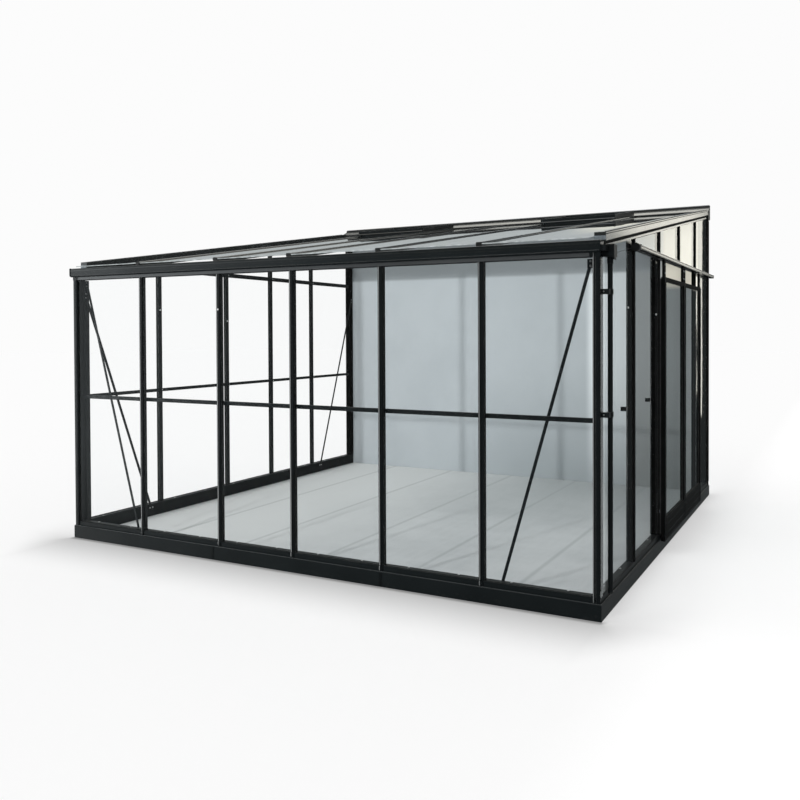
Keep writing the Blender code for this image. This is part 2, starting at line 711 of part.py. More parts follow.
def make_braces():
    """Flat braces in the end bays of the front and of the left gable."""
    seat = POST_HALF + GAP                       # inner faces of posts and plinth
    plane = seat + GAP                           # clear of the middle rails
    top = plane + BRACE_DEPTH
    foot_z = SILL_TOP - FOOT_DROP
    for side, word in ((-1, "left"), (1, "right")):
        foot_x = side * (WIDTH / 2 - BAY + FRONT_FOOT_SHORT)
        head_x = side * (WIDTH / 2 + CORNER_INNER - GAP - BRACKET_HEIGHT / 2)
        low = Vector((foot_x, FRONT + plane, foot_z))
        high = Vector((head_x, FRONT + plane, EAVES_Z - HEAD_DROP))
        x0, x1, z0, z1 = foot_pad(foot_x)
        low_pad = (x0, x1, FRONT + seat, FRONT + top, z0, z1)
        x0, x1, z0, z1 = head_pad(head_x, HEAD_DROP)
        high_pad = (x0, x1, FRONT + plane, FRONT + top, z0, z1)
        brace("brace_front_" + word, low, high, Vector((0, 1, 0)), low_pad, high_pad)

    def gable_brace(name, foot_y, head_y, drop, head_seat, head_length):
        low = Vector((LEFT + plane, foot_y, foot_z))
        high = Vector((LEFT + plane, head_y, EAVES_Z - drop))
        y0, y1, z0, z1 = foot_pad(foot_y)
        low_pad = (LEFT + seat, LEFT + top, y0, y1, z0, z1)
        y0, y1, z0, z1 = head_pad(head_y, drop, head_length)
        high_pad = (LEFT + head_seat, LEFT + top, y0, y1, z0, z1)
        brace(name, low, high, Vector((1, 0, 0)), low_pad, high_pad)

    gable_brace("brace_gable_front", FRONT + BAY - GABLE_FOOT_SHORT, FRONT + plane,
                GABLE_HEAD_DROP, GAP - CORNER_INNER, BRACE_WIDTH)
    gable_brace("brace_gable_rear", REAR - BAY + REAR_FOOT_SHORT, REAR - POST_HALF,
                HEAD_DROP, seat, BRACKET_HEIGHT)


def make_track():
    """Door track: a C-shaped channel, open below, with a stop at each end."""
    x_back = RIGHT + POST_HALF + GAP
    x_in = RIGHT + TRACK_IN
    x_out = RIGHT + TRACK_OUT
    slot_mid = RIGHT + LEAF_IN + LEAF_DEPTH / 2
    z0 = TRACK_BOTTOM_Z
    z1 = TRACK_BOTTOM_Z + TRACK_HEIGHT
    z_flange = z1 - TRACK_FLANGE
    wall = TRACK_WALL
    half = TRACK_SLOT / 2
    outline = [
        (x_back, z1), (x_back, z_flange), (x_in, z_flange), (x_in, z0),
        (slot_mid - half, z0), (slot_mid - half, z0 + wall), (x_in + wall, z0 + wall),
        (x_in + wall, z_flange), (x_out - wall, z_flange), (x_out - wall, z0 + wall),
        (slot_mid + half, z0 + wall), (slot_mid + half, z0), (x_out, z0), (x_out, z1),
    ]
    y0 = FRONT + BAY - TRACK_LEAD
    track = prism("door_track", outline, lambda x, z, end: (x, REAR if end else y0, z),
                  frame_finish("door_track"))
    for start in (y0 - STOP_PROUD, REAR - TRACK_STOP):
        fuse(track, block(x_in - STOP_PROUD, x_out + STOP_PROUD, start, start + TRACK_STOP,
                          z0 - STOP_PROUD, z1 + STOP_PROUD))


def make_door_leaf(name, y0, y1):
    """A framed leaf hung from the track by two rollers in the channel."""
    x0 = RIGHT + LEAF_IN
    x1 = x0 + LEAF_DEPTH
    mid = (x0 + x1) / 2
    leaf = prism(name + "_frame", rectangle(y0, y1, LEAF_BOTTOM_Z, LEAF_TOP_Z),
                 lambda y, z, end: (x1 if end else x0, y, z), frame_finish(name + "_frame"))
    open_y = (y0 + LEAF_STILE, y1 - LEAF_STILE)
    open_z = (LEAF_BOTTOM_Z + LEAF_BOTTOM_RAIL, LEAF_TOP_Z - LEAF_TOP_RAIL)
    fuse(leaf, block(x0 - GROOVE, x1 + GROOVE, *open_y, *open_z), "DIFFERENCE")
    half = GLASS / 2
    fuse(leaf, block(mid - half - GAP, mid + half + GAP, open_y[0] - GROOVE, open_y[1] + GROOVE,
                     open_z[0] - GROOVE, open_z[1] + GROOVE), "DIFFERENCE")
    roller_z = TRACK_BOTTOM_Z + TRACK_WALL + ROLLER_GAP
    plate_z = TRACK_BOTTOM_Z - RUN
    for h0 in (y0 + HANGER_INSET, y1 - HANGER_INSET - HANGER_WIDTH):
        h1 = h0 + HANGER_WIDTH
        fuse(leaf, block(x0 + PLATE_SLIM, x1 - PLATE_SLIM, h0, h1, LEAF_TOP_Z - HANGER_ROOT, plate_z))
        fuse(leaf, block(mid - STEM_WIDTH / 2, mid + STEM_WIDTH / 2, h0 + STEM_INSET, h1 - STEM_INSET,
                         plate_z - HANGER_ROOT, roller_z + HANGER_ROOT))
        fuse(leaf, block(mid - ROLLER_HALF, mid + ROLLER_HALF, h0 + ROLLER_INSET, h1 - ROLLER_INSET,
                         roller_z, roller_z + ROLLER_HEIGHT))
    enter = GROOVE - GAP
    pane = rectangle(open_y[0] - enter, open_y[1] + enter, open_z[0] - enter, open_z[1] + enter)
    sheet(name + "_glass", pane, mid - half, mid + half)


def make_doors():
    front = FRONT + DOOR_FIRST_BAY * BAY
    meet = front + BAY
    make_door_leaf("door_front", front - LEAF_LAP, meet - LEAF_GAP / 2)
    make_door_leaf("door_rear", meet + LEAF_GAP / 2, meet + BAY + LEAF_LAP)


def clear_scene():
    for obj in list(bpy.data.objects):
        bpy.data.objects.remove(obj, do_unlink=True)


def main():
    clear_scene()
    make_plinth()
    make_floor()
    make_posts()
    make_wall_bars()
    make_rails()
    make_eaves()
    make_downpipe()
    make_roof_bars()
    make_ridge()
    make_wall_glass()
    make_roof_glass()
    make_vents()
    make_braces()
    make_track()
    make_doors()


main()
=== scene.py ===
"""Looks of a lean-to greenhouse: a black coated frame on a plinth, clear glass, sliding doors.

Metres, +Z up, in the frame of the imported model: X along the front, Y from the front to the rear.
"""

import math

import bmesh
import bpy
from mathutils import Matrix, Vector


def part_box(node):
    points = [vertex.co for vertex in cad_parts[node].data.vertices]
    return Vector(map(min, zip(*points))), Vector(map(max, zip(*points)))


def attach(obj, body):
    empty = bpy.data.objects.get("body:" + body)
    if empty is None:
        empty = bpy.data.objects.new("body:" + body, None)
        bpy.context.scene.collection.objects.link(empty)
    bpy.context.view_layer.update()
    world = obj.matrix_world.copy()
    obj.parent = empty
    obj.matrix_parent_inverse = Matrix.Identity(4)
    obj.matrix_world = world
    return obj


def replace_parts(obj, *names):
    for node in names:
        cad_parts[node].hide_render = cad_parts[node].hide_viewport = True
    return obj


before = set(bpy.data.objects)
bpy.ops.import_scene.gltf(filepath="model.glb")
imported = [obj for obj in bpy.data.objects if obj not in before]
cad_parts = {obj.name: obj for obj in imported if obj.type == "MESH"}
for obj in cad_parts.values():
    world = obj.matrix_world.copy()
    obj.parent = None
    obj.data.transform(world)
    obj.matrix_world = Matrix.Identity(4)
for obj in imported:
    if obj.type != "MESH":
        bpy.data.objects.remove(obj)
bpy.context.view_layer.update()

# The frame's own measures
BAY = 0.734
LEFT, RIGHT = -2.202, 2.202
FRONT, REAR = -1.835, 1.835
SIDES = ((-1, LEFT), (1, RIGHT))
PLINTH_TOP, SILL_TOP = 0.100, 0.135
PLINTH_OUT = 0.038
SLAB_START, SLAB_WIDTH = -1.54, 0.780
EAVES_Z = 2.100
ROOF_FRONT_Z, ROOF_RISE = 2.237, 0.184
ROOF_BAR_START, ROOF_BAR_DEPTH = FRONT - 0.050, 0.0500
RAKE_UNDER_Z = ROOF_FRONT_Z - 0.085
CAP_UP = -0.0100
RIDGE_FRONT = REAR - 0.120
RIDGE_LOW, RIDGE_TOP = 2.805, 2.9540
POST_HALF = 0.030
BAR_HALF = 0.019
STUB_REACH = 0.040
GLASS_IN, GLASS_OUT = 0.0183, 0.0223
MID_RAIL_Z, HEADER_Z = 1.152, 2.250
GUTTER_OUT, GUTTER_RIM_Z = 0.055, 2.192
GUTTER_REACH = RIGHT + 0.040
VERGE_OUT, VERGE_LIP = 0.042, 0.004
VERGE_START = FRONT + 0.045
VENT_LENGTH, VENT_HEIGHT = 0.700, 0.040
PIPE_X, PIPE_Y, PIPE_RADIUS = RIGHT + 0.067, FRONT + 0.045, 0.015
CLIP_ZS = (1.190, 1.900)
OUTLET_LOW_Z, OUTLET_HIGH_Z, OUTLET_HALF = 2.102, 2.170, 0.033
TRACK_LOW_Z, TRACK_HIGH_Z, TRACK_OUT = 2.214, 2.242, 0.080
LEAF_LOW_Z, LEAF_HIGH_Z = 0.090, 2.080

# Clearances: between touching pieces, under an upright strip's foot, under a washer
GAP = 0.0003
LIFT = 0.0006
SEAT = 0.0002

# Cover strips over the bars: across the bar, and outwards from the grid line
COVER_BACK = 0.0227
COVER_HALF = 0.0188
COVER_EDGE = 0.0242
COVER_TOP = 0.0274
FLAT_HALF = 0.0090
GROOVE_HALF = 0.0028
GROOVE_ROOT = 0.0250
SLIM_TOP = 0.0318
DEEP_TOP = 0.0330
TAIL_ROOT, TAIL_TOP = 0.0283, 0.0318

# Directions that screws face
EAST, WEST, NORTH, SOUTH = (1.0, 0.0, 0.0), (-1.0, 0.0, 0.0), (0.0, 1.0, 0.0), (0.0, -1.0, 0.0)
UP = (0.0, 0.0, 1.0)

# The photograph's view
EYE = Vector((3.5146, -5.9867, 1.6643))
YAW, PITCH, ROLL = (math.radians(a) for a in (24.154, -0.781, -0.144))
FOCAL_PIXELS = 749.19
PICTURE = 800
CENTRE_U, CENTRE_V = 510.04, 342.98
SENSOR = 36.0


def roof_z(y):
    """Height of the solid roof bars' top at depth y."""
    return ROOF_FRONT_Z + ROOF_RISE * (y - FRONT)


def middle(node, axis):
    low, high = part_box(node)
    return (low[axis] + high[axis]) / 2


FRONT_XS = [LEFT] + [middle("front_bar_%d" % i, 0) for i in range(1, 6)] + [RIGHT]
LEFT_YS = [FRONT] + [middle("left_bar_%d" % i, 1) for i in range(1, 5)] + [REAR]
RIGHT_YS = [FRONT] + [middle("right_bar_%d" % i, 1) for i in range(1, 5)] + [REAR]


# Node maths

class Wire:
    """One socket of a node tree. Sums written on it add Math nodes."""

    def __init__(self, bench, socket):
        self.bench = bench
        self.socket = socket

    def sum(self, operation, *terms):
        return self.bench.add("ShaderNodeMath", {"operation": operation}, dict(enumerate(terms)))

    def __add__(self, other):
        return self.sum("ADD", self, other)

    def __radd__(self, other):
        return self.sum("ADD", other, self)

    def __sub__(self, other):
        return self.sum("SUBTRACT", self, other)

    def __rsub__(self, other):
        return self.sum("SUBTRACT", other, self)

    def __mul__(self, other):
        return self.sum("MULTIPLY", self, other)

    def __rmul__(self, other):
        return self.sum("MULTIPLY", other, self)

    def __truediv__(self, other):
        return self.sum("DIVIDE", self, other)

    def __rtruediv__(self, other):
        return self.sum("DIVIDE", other, self)

    def between(self, low, high):
        """0 below low, 1 above high, eased in between."""
        return self.bench.add("ShaderNodeMapRange", {"interpolation_type": "SMOOTHSTEP"},
                              {"Value": self, "From Min": low, "From Max": high})

    def band(self, low, full, fade, high):
        """1 from full to fade, eased to 0 at low and at high."""
        return self.between(low, full) - self.between(fade, high)


class Bench:
    """A node tree and the one way in which nodes are put into it."""

    def __init__(self, tree):
        self.tree = tree

    def add(self, kind, settings=None, sockets=None, out=0):
        """A new node: its settings first, then each socket's value, link or list of links."""
        node = self.tree.nodes.new(kind)
        for key, value in (settings or {}).items():
            setattr(node, key, value)
        for key, value in (sockets or {}).items():
            for part in value if isinstance(value, list) else [value]:
                if isinstance(part, Wire):
                    self.tree.links.new(part.socket, node.inputs[key])
                else:
                    node.inputs[key].default_value = part
        return Wire(self, node.outputs[out]) if node.outputs else None

    def other(self, wire, out):
        """Another output of the node that a wire comes from."""
        return Wire(self, wire.socket.node.outputs[out])

    def tint(self, factor, low, high):
        """A colour that goes from low to high with the factor."""
        ends = [end if isinstance(end, Wire) else (*end, 1.0) for end in (low, high)]
        return self.add("ShaderNodeMix", {"data_type": "RGBA"}, {0: factor, 6: ends[0], 7: ends[1]}, out=2)


class Finish(Bench):
    """A material with its own tree, emptied, that ends in one shader."""

    def __init__(self, name):
        self.material = bpy.data.materials.new(name)
        self.material.use_nodes = True
        super().__init__(self.material.node_tree)
        self.tree.nodes.clear()
        self.place = self.add("ShaderNodeTexCoord", out="Object")

    def axis(self, letter):
        """The place along one axis."""
        return self.add("ShaderNodeSeparateXYZ", None, {"Vector": self.place}, out=letter)

    def noise(self, scale, detail=2.0, roughness=0.5, stretch=None):
        """Noise over the piece; stretch scales its axes first."""
        where = self.place
        if stretch:
            where = self.add("ShaderNodeMapping", None, {"Vector": where, "Scale": stretch})
        return self.add("ShaderNodeTexNoise", None,
                        {"Vector": where, "Scale": scale, "Detail": detail, "Roughness": roughness})

    def facing_up(self):
        """1 on level tops, 0 where the surface is steep."""
        normal = self.add("ShaderNodeNewGeometry", out="Normal")
        upward = self.add("ShaderNodeSeparateXYZ", None, {"Vector": normal}, out="Z")
        return upward.between(0.55, 0.95)

    def bump(self, height, strength, distance):
        return self.add("ShaderNodeBump", None,
                        {"Height": height, "Strength": strength, "Distance": distance})

    def show(self, shader):
        self.add("ShaderNodeOutputMaterial", None, {"Surface": shader})
        return self.material

    def coated(self, colour, roughness, height, strength, distance, constants=None):
        """Shows a Principled shader with a bump; the constants go on its own sockets."""
        return self.show(self.add("ShaderNodeBsdfPrincipled", None, {
            "Base Color": colour, "Roughness": roughness,
            "Normal": self.bump(height, strength, distance), **(constants or {})}))


# Finishes

def lighter(colour, times):
    return tuple(c * times for c in colour)


def coat(name, base, rough, dust=0.10, sheen=0.5, lacquer=0.0):
    """Baked powder coat: finely pebbled, with a little dust where it faces up."""
    f = Finish(name)
    cloud = f.noise(2.3, 3.0)
    streak = f.noise(1.0, 3.0, stretch=(38.0, 38.0, 1.6))
    dusty = (f.facing_up() * dust * f.noise(14.0, 4.0, 0.65).between(0.30, 0.75)
             + streak.between(0.62, 0.85) * dust * 0.20)
    colour = f.tint(cloud.between(0.35, 0.7) * 0.6, base, lighter(base, 1.5))
    colour = f.tint(dusty, colour, (0.33, 0.32, 0.29))
    roughness = rough + (cloud - 0.5) * 0.10 + dusty * 0.8 + (streak - 0.5) * 0.06
    return f.coated(colour, roughness, f.noise(620.0, 1.0), 0.10, 0.0004, {
        "Specular IOR Level": sheen, "Coat Weight": lacquer, "Coat Roughness": 0.10})


def plinth_coat(name, base, rough):
    """The plinth's coat: a shade greyer, with dried splashes near the ground."""
    f = Finish(name)
    cloud = f.noise(3.1, 4.0)
    splash = f.noise(46.0, 5.0, 0.7).between(0.52, 0.72)
    low = 1.0 - f.axis("Z").between(0.0, 0.075)
    grime = low * splash * 0.03 + f.facing_up() * 0.04 * f.noise(11.0, 4.0, 0.7).between(0.3, 0.75)
    colour = f.tint(cloud.between(0.3, 0.7) * 0.5, base, lighter(base, 1.45))
    colour = f.tint(grime, colour, (0.30, 0.29, 0.26))
    roughness = rough + (cloud - 0.5) * 0.12 + grime * 0.9
    return f.coated(colour, roughness, f.noise(560.0, 1.0), 0.10, 0.0004, {"Specular IOR Level": 0.12})


def paving(name):
    """The built floor: pale slabs with clouds, fine sand, faint trowel marks and thin joints, with painted
    light to the left and painted shade to the back right.
    """
    f = Finish(name)
    cloud = f.noise(0.9, 5.0, 0.6)
    patch = f.noise(2.1, 4.0, 0.6, stretch=(1.0, 2.6, 1.0))
    sand = f.noise(420.0, 2.0)
    pore = f.add("ShaderNodeTexVoronoi", None, {"Vector": f.place, "Scale": 60.0})
    mark = f.noise(6.0, 6.0, 0.7, stretch=(3.0, 0.35, 1.0))
    tone = cloud * 0.5 + patch * 0.3 + mark * 0.2
    across, along = f.axis("X"), f.axis("Y")
    # Painted light towards the left of the floor and painted shade towards its back right
    pale = 1.0 - across.between(-1.6, 0.9)
    painted_shade_right = across.between(-0.8, 1.2) * along.between(-0.6, 1.8)
    joint = 1.0 - across.sum("PINGPONG", across - SLAB_START, SLAB_WIDTH / 2).between(0.004, 0.028)
    colour = f.tint(tone.between(0.34, 0.66), (0.375, 0.400, 0.410), (0.475, 0.500, 0.508))
    colour = f.tint((1.0 - pore.between(0.02, 0.10)) * 0.25, colour, (0.25, 0.27, 0.28))
    colour = f.tint(sand.between(0.62, 0.72) * 0.10, colour, (0.60, 0.61, 0.60))
    colour = f.tint(pale * 0.75, colour, (0.62, 0.64, 0.635))
    colour = f.tint(painted_shade_right * 0.75, colour, (0.24, 0.265, 0.27))
    colour = f.tint(joint * 0.38, colour, (0.22, 0.24, 0.245))
    return f.coated(colour, 0.62 + (patch - 0.5) * 0.25, sand * 0.5 + patch * 1.5, 0.25, 0.0012)


GLASS_INDEX = 1.5


def pane(name, tint, film=0.0015, wave=0.02, least=0.085):
    """Clear float glass: both of its faces mirror at a low angle, under a thin film of dust."""
    f = Finish(name)
    normal = f.bump(f.noise(2.6, 2.0, stretch=(1.0, 1.0, 0.6)), wave, 0.02)
    once = f.add("ShaderNodeFresnel", None, {"IOR": GLASS_INDEX, "Normal": normal})
    front = 1.0 - f.add("ShaderNodeNewGeometry", out="Backfacing")
    mirror = (once * 2.0 / (once + 1.0) - least) / (1.0 - least) * front
    dust = f.noise(5.0, 5.0, 0.7).between(0.35, 0.80) * film + film * 0.4
    through = f.add("ShaderNodeBsdfTransparent", None, {"Color": (*tint, 1.0)})
    dusty = f.add("ShaderNodeBsdfPrincipled", None, {
        "Base Color": (0.60, 0.62, 0.61, 1.0), "Roughness": 0.9})
    gloss = f.add("ShaderNodeBsdfGlossy", None, {
        "Color": (0.97, 0.98, 0.98, 1.0), "Roughness": 0.012, "Normal": normal})
    body = f.add("ShaderNodeMixShader", None, {0: dust, 1: through, 2: dusty})
    return f.show(f.add("ShaderNodeMixShader", None, {0: mirror, 1: body, 2: gloss}))


def rubber(name):
    """Glazing rubber and brush seals: soft black, matt, slightly bloomed."""
    f = Finish(name)
    bloom = f.noise(30.0, 4.0, 0.6).between(0.4, 0.8)
    colour = f.tint(bloom, (0.009, 0.010, 0.010), (0.030, 0.031, 0.031))
    return f.coated(colour, 0.72 + bloom * 0.15, f.noise(900.0, 1.0), 0.15, 0.0003)


def steel(name, colour, rough):
    """Fasteners: brushed steel with dull patches."""
    f = Finish(name)
    dull = f.noise(90.0, 4.0, 0.6)
    shade = f.tint(dull.between(0.35, 0.75), colour, lighter(colour, 0.6))
    brushed = f.noise(260.0, 2.0, stretch=(1.0, 1.0, 12.0))
    return f.coated(shade, rough + dull * 0.2, brushed, 0.12, 0.0003, {"Metallic": 1.0})


def moulded(name, base):
    """Moulded parts: plugs, end blocks, guides and caps, fine grained."""
    f = Finish(name)
    cloud = f.noise(18.0, 3.0)
    colour = f.tint(cloud.between(0.35, 0.7), base, lighter(base, 1.8))
    return f.coated(colour, 0.46 + (cloud - 0.5) * 0.2, f.noise(480.0, 2.0), 0.2, 0.0004)


BLACK = (0.0042, 0.0060, 0.0066)
FRAME_COAT = coat("frame_coat", BLACK, 0.42, 0.06, 0.30)
COVER_COAT = coat("cover_strip_coat", BLACK, 0.20, 0.05, 0.60)
# Painted sheen: a lighter copy of the black coat, for parts that show bright reflections
PAINTED_SHEEN_COAT = coat("verge_coat", (0.0105, 0.0125, 0.0120), 0.16, 0.05, 1.0, 0.8)
# Painted shade: a darker copy of the black coat, for the right gable's bars, the rakes, the wall posts and
# the doors
DULL_PAINTED_SHADE_COAT = coat("rake_coat", (0.0024, 0.0026, 0.0026), 0.62, 0.03, 0.05)
# Painted sheen: a grey copy of the black coat for the strip under the gutter
PAINTED_SHEEN_STRIP_COAT = coat("eaves_strip_coat", (0.055, 0.060, 0.062), 0.18, 0.04, 1.0, 1.0)
PLINTH_COAT = plinth_coat("plinth_coat", (0.0056, 0.0074, 0.0080), 0.36)
# Painted highlight: a lighter copy of the black coat for the line along the plinth's top edge
PAINTED_HIGHLIGHT_COAT = coat("plinth_edge_coat", (0.035, 0.042, 0.044), 0.35, 0.06)
# Painted reflection: pale grey along the roof panes' lower edges, like the glass beside them
PANE_EDGE_PAINTED_REFLECTION = moulded("pane_edge_film", (0.34, 0.37, 0.375))
PAVING = paving("floor_concrete")
WALL_GLASS = pane("wall_glass", (0.998, 1.0, 1.0))
SIDE_GLASS = pane("side_glass", (0.998, 1.0, 1.0), wave=0.005, least=0.18)
ROOF_GLASS = pane("roof_glass", (0.97, 0.985, 0.985), 0.020, 0.02, 0.04)
DOOR_GLASS = pane("door_glass", (0.95, 0.965, 0.965))
SEAL = rubber("seal_rubber")
STAINLESS = steel("fastener_steel", (0.62, 0.63, 0.63), 0.28)
DARK_SCREW = steel("dark_screw_steel", (0.045, 0.047, 0.048), 0.42)
MOULDED = moulded("moulded_black", (0.006, 0.0065, 0.0065))
GUIDE_GREY = moulded("moulded_grey", (0.16, 0.19, 0.21))
# Painted glints: pale caps on bolt heads, so that they show as bright dots
PALE_GLINT_CAP = moulded("moulded_pale", (0.52, 0.53, 0.53))

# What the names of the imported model's nodes start with, and the finish; the first that fits counts
GLASS_NODES = (("door", DOOR_GLASS), (("roof", "vent"), ROOF_GLASS), ("glass_right", SIDE_GLASS),
               ("", WALL_GLASS))
SOLID_NODES = (("base", PLINTH_COAT), ("floor_slabs", PAVING),
               (("verge", "roof_bar", "door_track", "corner_post_right"), PAINTED_SHEEN_COAT),
               ("eaves_gutter", COVER_COAT), (("rake", "wall_post", "right_bar", "door"), DULL_PAINTED_SHADE_COAT),
               ("", FRAME_COAT))


def dress_frame():
    """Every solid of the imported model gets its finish."""
    for name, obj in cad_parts.items():
        table = GLASS_NODES if "glass" in name else SOLID_NODES
        obj.data.materials.clear()
        obj.data.materials.append(next(finish for starts, finish in table if name.startswith(starts)))


# Pieces in mesh code

def hang(obj, body):
    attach(obj, body)
    return obj


def link(name, data):
    obj = bpy.data.objects.new(name, data)
    bpy.context.scene.collection.objects.link(obj)
    return obj


def eased(outline, cut):
    """The outline with every corner cut back by up to the given length."""
    points = []
    count = len(outline)
    for i, (a, b) in enumerate(outline):
        for j in (i - 1, (i + 1) % count):
            da, db = outline[j][0] - a, outline[j][1] - b
            length = math.hypot(da, db)
            step = min(cut, length * 0.3) / length
            points.append((a + da * step, b + db * step))
    return points


def rectangle(a0, a1, b0, b1):
    return [(a0, b0), (a1, b0), (a1, b1), (a0, b1)]


def along_x(x0, x1):
    """Places an outline in y and z at both ends of a run along x."""
    return lambda a, b, end: (x1 if end else x0, a, b)


def along_y(y0, y1):
    """Places an outline in x and z at both ends of a run along y."""
    return lambda a, b, end: (a, y1 if end else y0, b)


def sloped(outline, y0, y1):
    """Arguments for a run under the slope: outline in x and height above the bars' top."""
    return outline, lambda x, up, end: (x, y1 if end else y0, roof_z(y1 if end else y0) + up)


class Piece:
    """A mesh of several closed forms that are made together and ride together."""

    def __init__(self, name):
        self.name = name
        self.bm = bmesh.new()

    def run(self, outline, place):
        """The outline at both ends of a straight run, closed."""
        ends = [[self.bm.verts.new(place(a, b, end)) for a, b in outline] for end in (0, 1)]
        faces = [self.bm.faces.new(ends[0]), self.bm.faces.new(ends[1])]
        for i in range(len(outline)):
            j = (i + 1) % len(outline)
            faces.append(self.bm.faces.new((ends[0][i], ends[0][j], ends[1][j], ends[1][i])))
        bmesh.ops.recalc_face_normals(self.bm, faces=faces)

    def block(self, x0, x1, y0, y1, z0, z1, cut):
        self.run(eased(rectangle(x0, x1, y0, y1), cut), lambda a, b, end: (a, b, z1 if end else z0))

    def turned(self, profile, centre, sides=20):
        """A form turned about an upright axis: (height, radius) pairs, closed at both ends."""
        centre = Vector(centre)
        angles = [2 * math.pi * k / sides for k in range(sides)]
        rings, faces = [], []
        for along, radius in profile:
            ring = [Vector((-radius * math.cos(a), -radius * math.sin(a), along)) for a in angles]
            rings.append([self.bm.verts.new(centre + point) for point in ring])
        for low, high in zip(rings, rings[1:]):
            for k in range(sides):
                j = (k + 1) % sides
                faces.append(self.bm.faces.new((low[k], low[j], high[j], high[k])))
        faces += [self.bm.faces.new(rings[0]), self.bm.faces.new(rings[-1])]
        bmesh.ops.recalc_face_normals(self.bm, faces=faces)

    def mesh(self, finish):
        mesh = bpy.data.meshes.new(self.name)
        self.bm.to_mesh(mesh)
        self.bm.free()
        mesh.materials.append(finish)
        return mesh

    def done(self, finish, body="building"):
        return hang(link(self.name, self.mesh(finish)), body)


# Pieces by Geometry Nodes

class Recipe(Bench):
    """A Geometry Nodes tree with named inputs that ends in Realize Instances and Set Material."""

    def __init__(self, name, **inputs):
        super().__init__(bpy.data.node_groups.new(name, "GeometryNodeTree"))
        face = self.tree.interface
        face.new_socket("Geometry", in_out="INPUT", socket_type="NodeSocketGeometry")
        for label, value in inputs.items():
            face.new_socket(label, in_out="INPUT", socket_type="NodeSocketFloat").default_value = value
        face.new_socket("Finish", in_out="INPUT", socket_type="NodeSocketMaterial")
        face.new_socket("Geometry", in_out="OUTPUT", socket_type="NodeSocketGeometry")
        self.start = self.add("NodeGroupInput", out="Geometry")

    def given(self, label):
        return self.other(self.start, label)

    def closed(self, *parts):
        """The parts as one, with the points that coincide merged."""
        joined = self.add("GeometryNodeJoinGeometry", None, {"Geometry": list(parts)})
        return self.add("GeometryNodeMergeByDistance", None, {"Geometry": joined, "Distance": 0.00001})

    def end(self, geometry):
        whole = self.add("GeometryNodeRealizeInstances", None, {"Geometry": geometry})
        made = self.add("GeometryNodeSetMaterial", None,
                        {"Geometry": whole, "Material": self.given("Finish")})
        self.add("NodeGroupOutput", None, {"Geometry": made})
        return self

    def make(self, obj, finish, body="building", **values):
        """Runs the recipe on an object, keeps the plain mesh and hangs it on its body."""
        step = obj.modifiers.new("recipe", "NODES")
        step.node_group = self.tree
        names = {item.name: item.identifier for item in self.tree.interface.items_tree
                 if item.in_out == "INPUT"}
        for label, value in dict(values, Finish=finish).items():
            step[names[label]] = value
        graph = bpy.context.evaluated_depsgraph_get()
        mesh = bpy.data.meshes.new_from_object(obj.evaluated_get(graph))
        obj.modifiers.clear()
        obj.data = mesh
        return hang(obj, body)


def raised_sections():
    """Sections drawn level are raised to a top that follows the roof's slope."""
    r = Recipe("raised_sections", Top=2.1, Rise=0.0, From=FRONT)
    foot = r.add("GeometryNodeFlipFaces", None, {"Mesh": r.start})
    body = r.add("GeometryNodeExtrudeMesh", None, {
        "Mesh": r.start, "Offset": UP, "Offset Scale": 0.01, "Individual": False})
    split = r.add("ShaderNodeSeparateXYZ", None, {"Vector": r.add("GeometryNodeInputPosition")})
    across = r.other(split, "Y")
    height = r.given("Top") + r.given("Rise") * (across - r.given("From"))
    goal = r.add("ShaderNodeCombineXYZ", None, {"X": split, "Y": across, "Z": height})
    body = r.add("GeometryNodeSetPosition", None, {
        "Geometry": body, "Selection": r.other(body, "Top"), "Position": goal})
    return r.end(r.closed(body, foot))


def round_cords():
    """A round cord along every drawn line: seals and beads."""
    r = Recipe("cords", Radius=0.003)
    line = r.add("GeometryNodeMeshToCurve", None, {"Mesh": r.start})
    section = r.add("GeometryNodeCurvePrimitiveCircle", None,
                    {"Resolution": 8, "Radius": r.given("Radius")})
    return r.end(r.add("GeometryNodeCurveToMesh", None,
                       {"Curve": line, "Profile Curve": section, "Fill Caps": True}))


def screw_heads():
    """A domed head with a socket on a washer, at every point, facing the way the point says."""
    r = Recipe("screw_heads", Washer=0.0085, Head=0.0058, Height=0.0032)
    disc = r.add("GeometryNodeMeshCircle", {"fill_type": "NGON"},
                 {"Vertices": 12, "Radius": r.given("Washer")})
    foot = r.add("GeometryNodeFlipFaces", None, {"Mesh": disc})
    ratio = r.given("Head") / r.given("Washer")
    steps = ((0.35, 1.0), (0.0, ratio), (0.62, 0.92), (0.38, 0.72), (0.0, 0.62), (-0.55, 1.0))
    body, chosen = disc, {}
    for rise, scale in steps:
        body = r.add("GeometryNodeExtrudeMesh", None, {
            "Mesh": body, "Offset Scale": r.given("Height") * rise, "Individual": False,
            "Offset": UP, **chosen})
        chosen = {"Selection": r.other(body, "Top")}
        body = r.add("GeometryNodeScaleElements", None, {"Geometry": body, "Scale": scale, **chosen})
    facing = r.add("GeometryNodeInputNamedAttribute", {"data_type": "FLOAT_VECTOR"}, {"Name": "facing"})
    turn = r.add("FunctionNodeAlignRotationToVector", {"axis": "Z"}, {"Vector": facing})
    points = r.add("GeometryNodeMeshToPoints", None, {"Mesh": r.start})
    return r.end(r.add("GeometryNodeInstanceOnPoints", None, {
        "Points": points, "Instance": r.closed(body, foot), "Rotation": turn}))


RAISED = raised_sections()
CORDS = round_cords()
SCREWS = screw_heads()


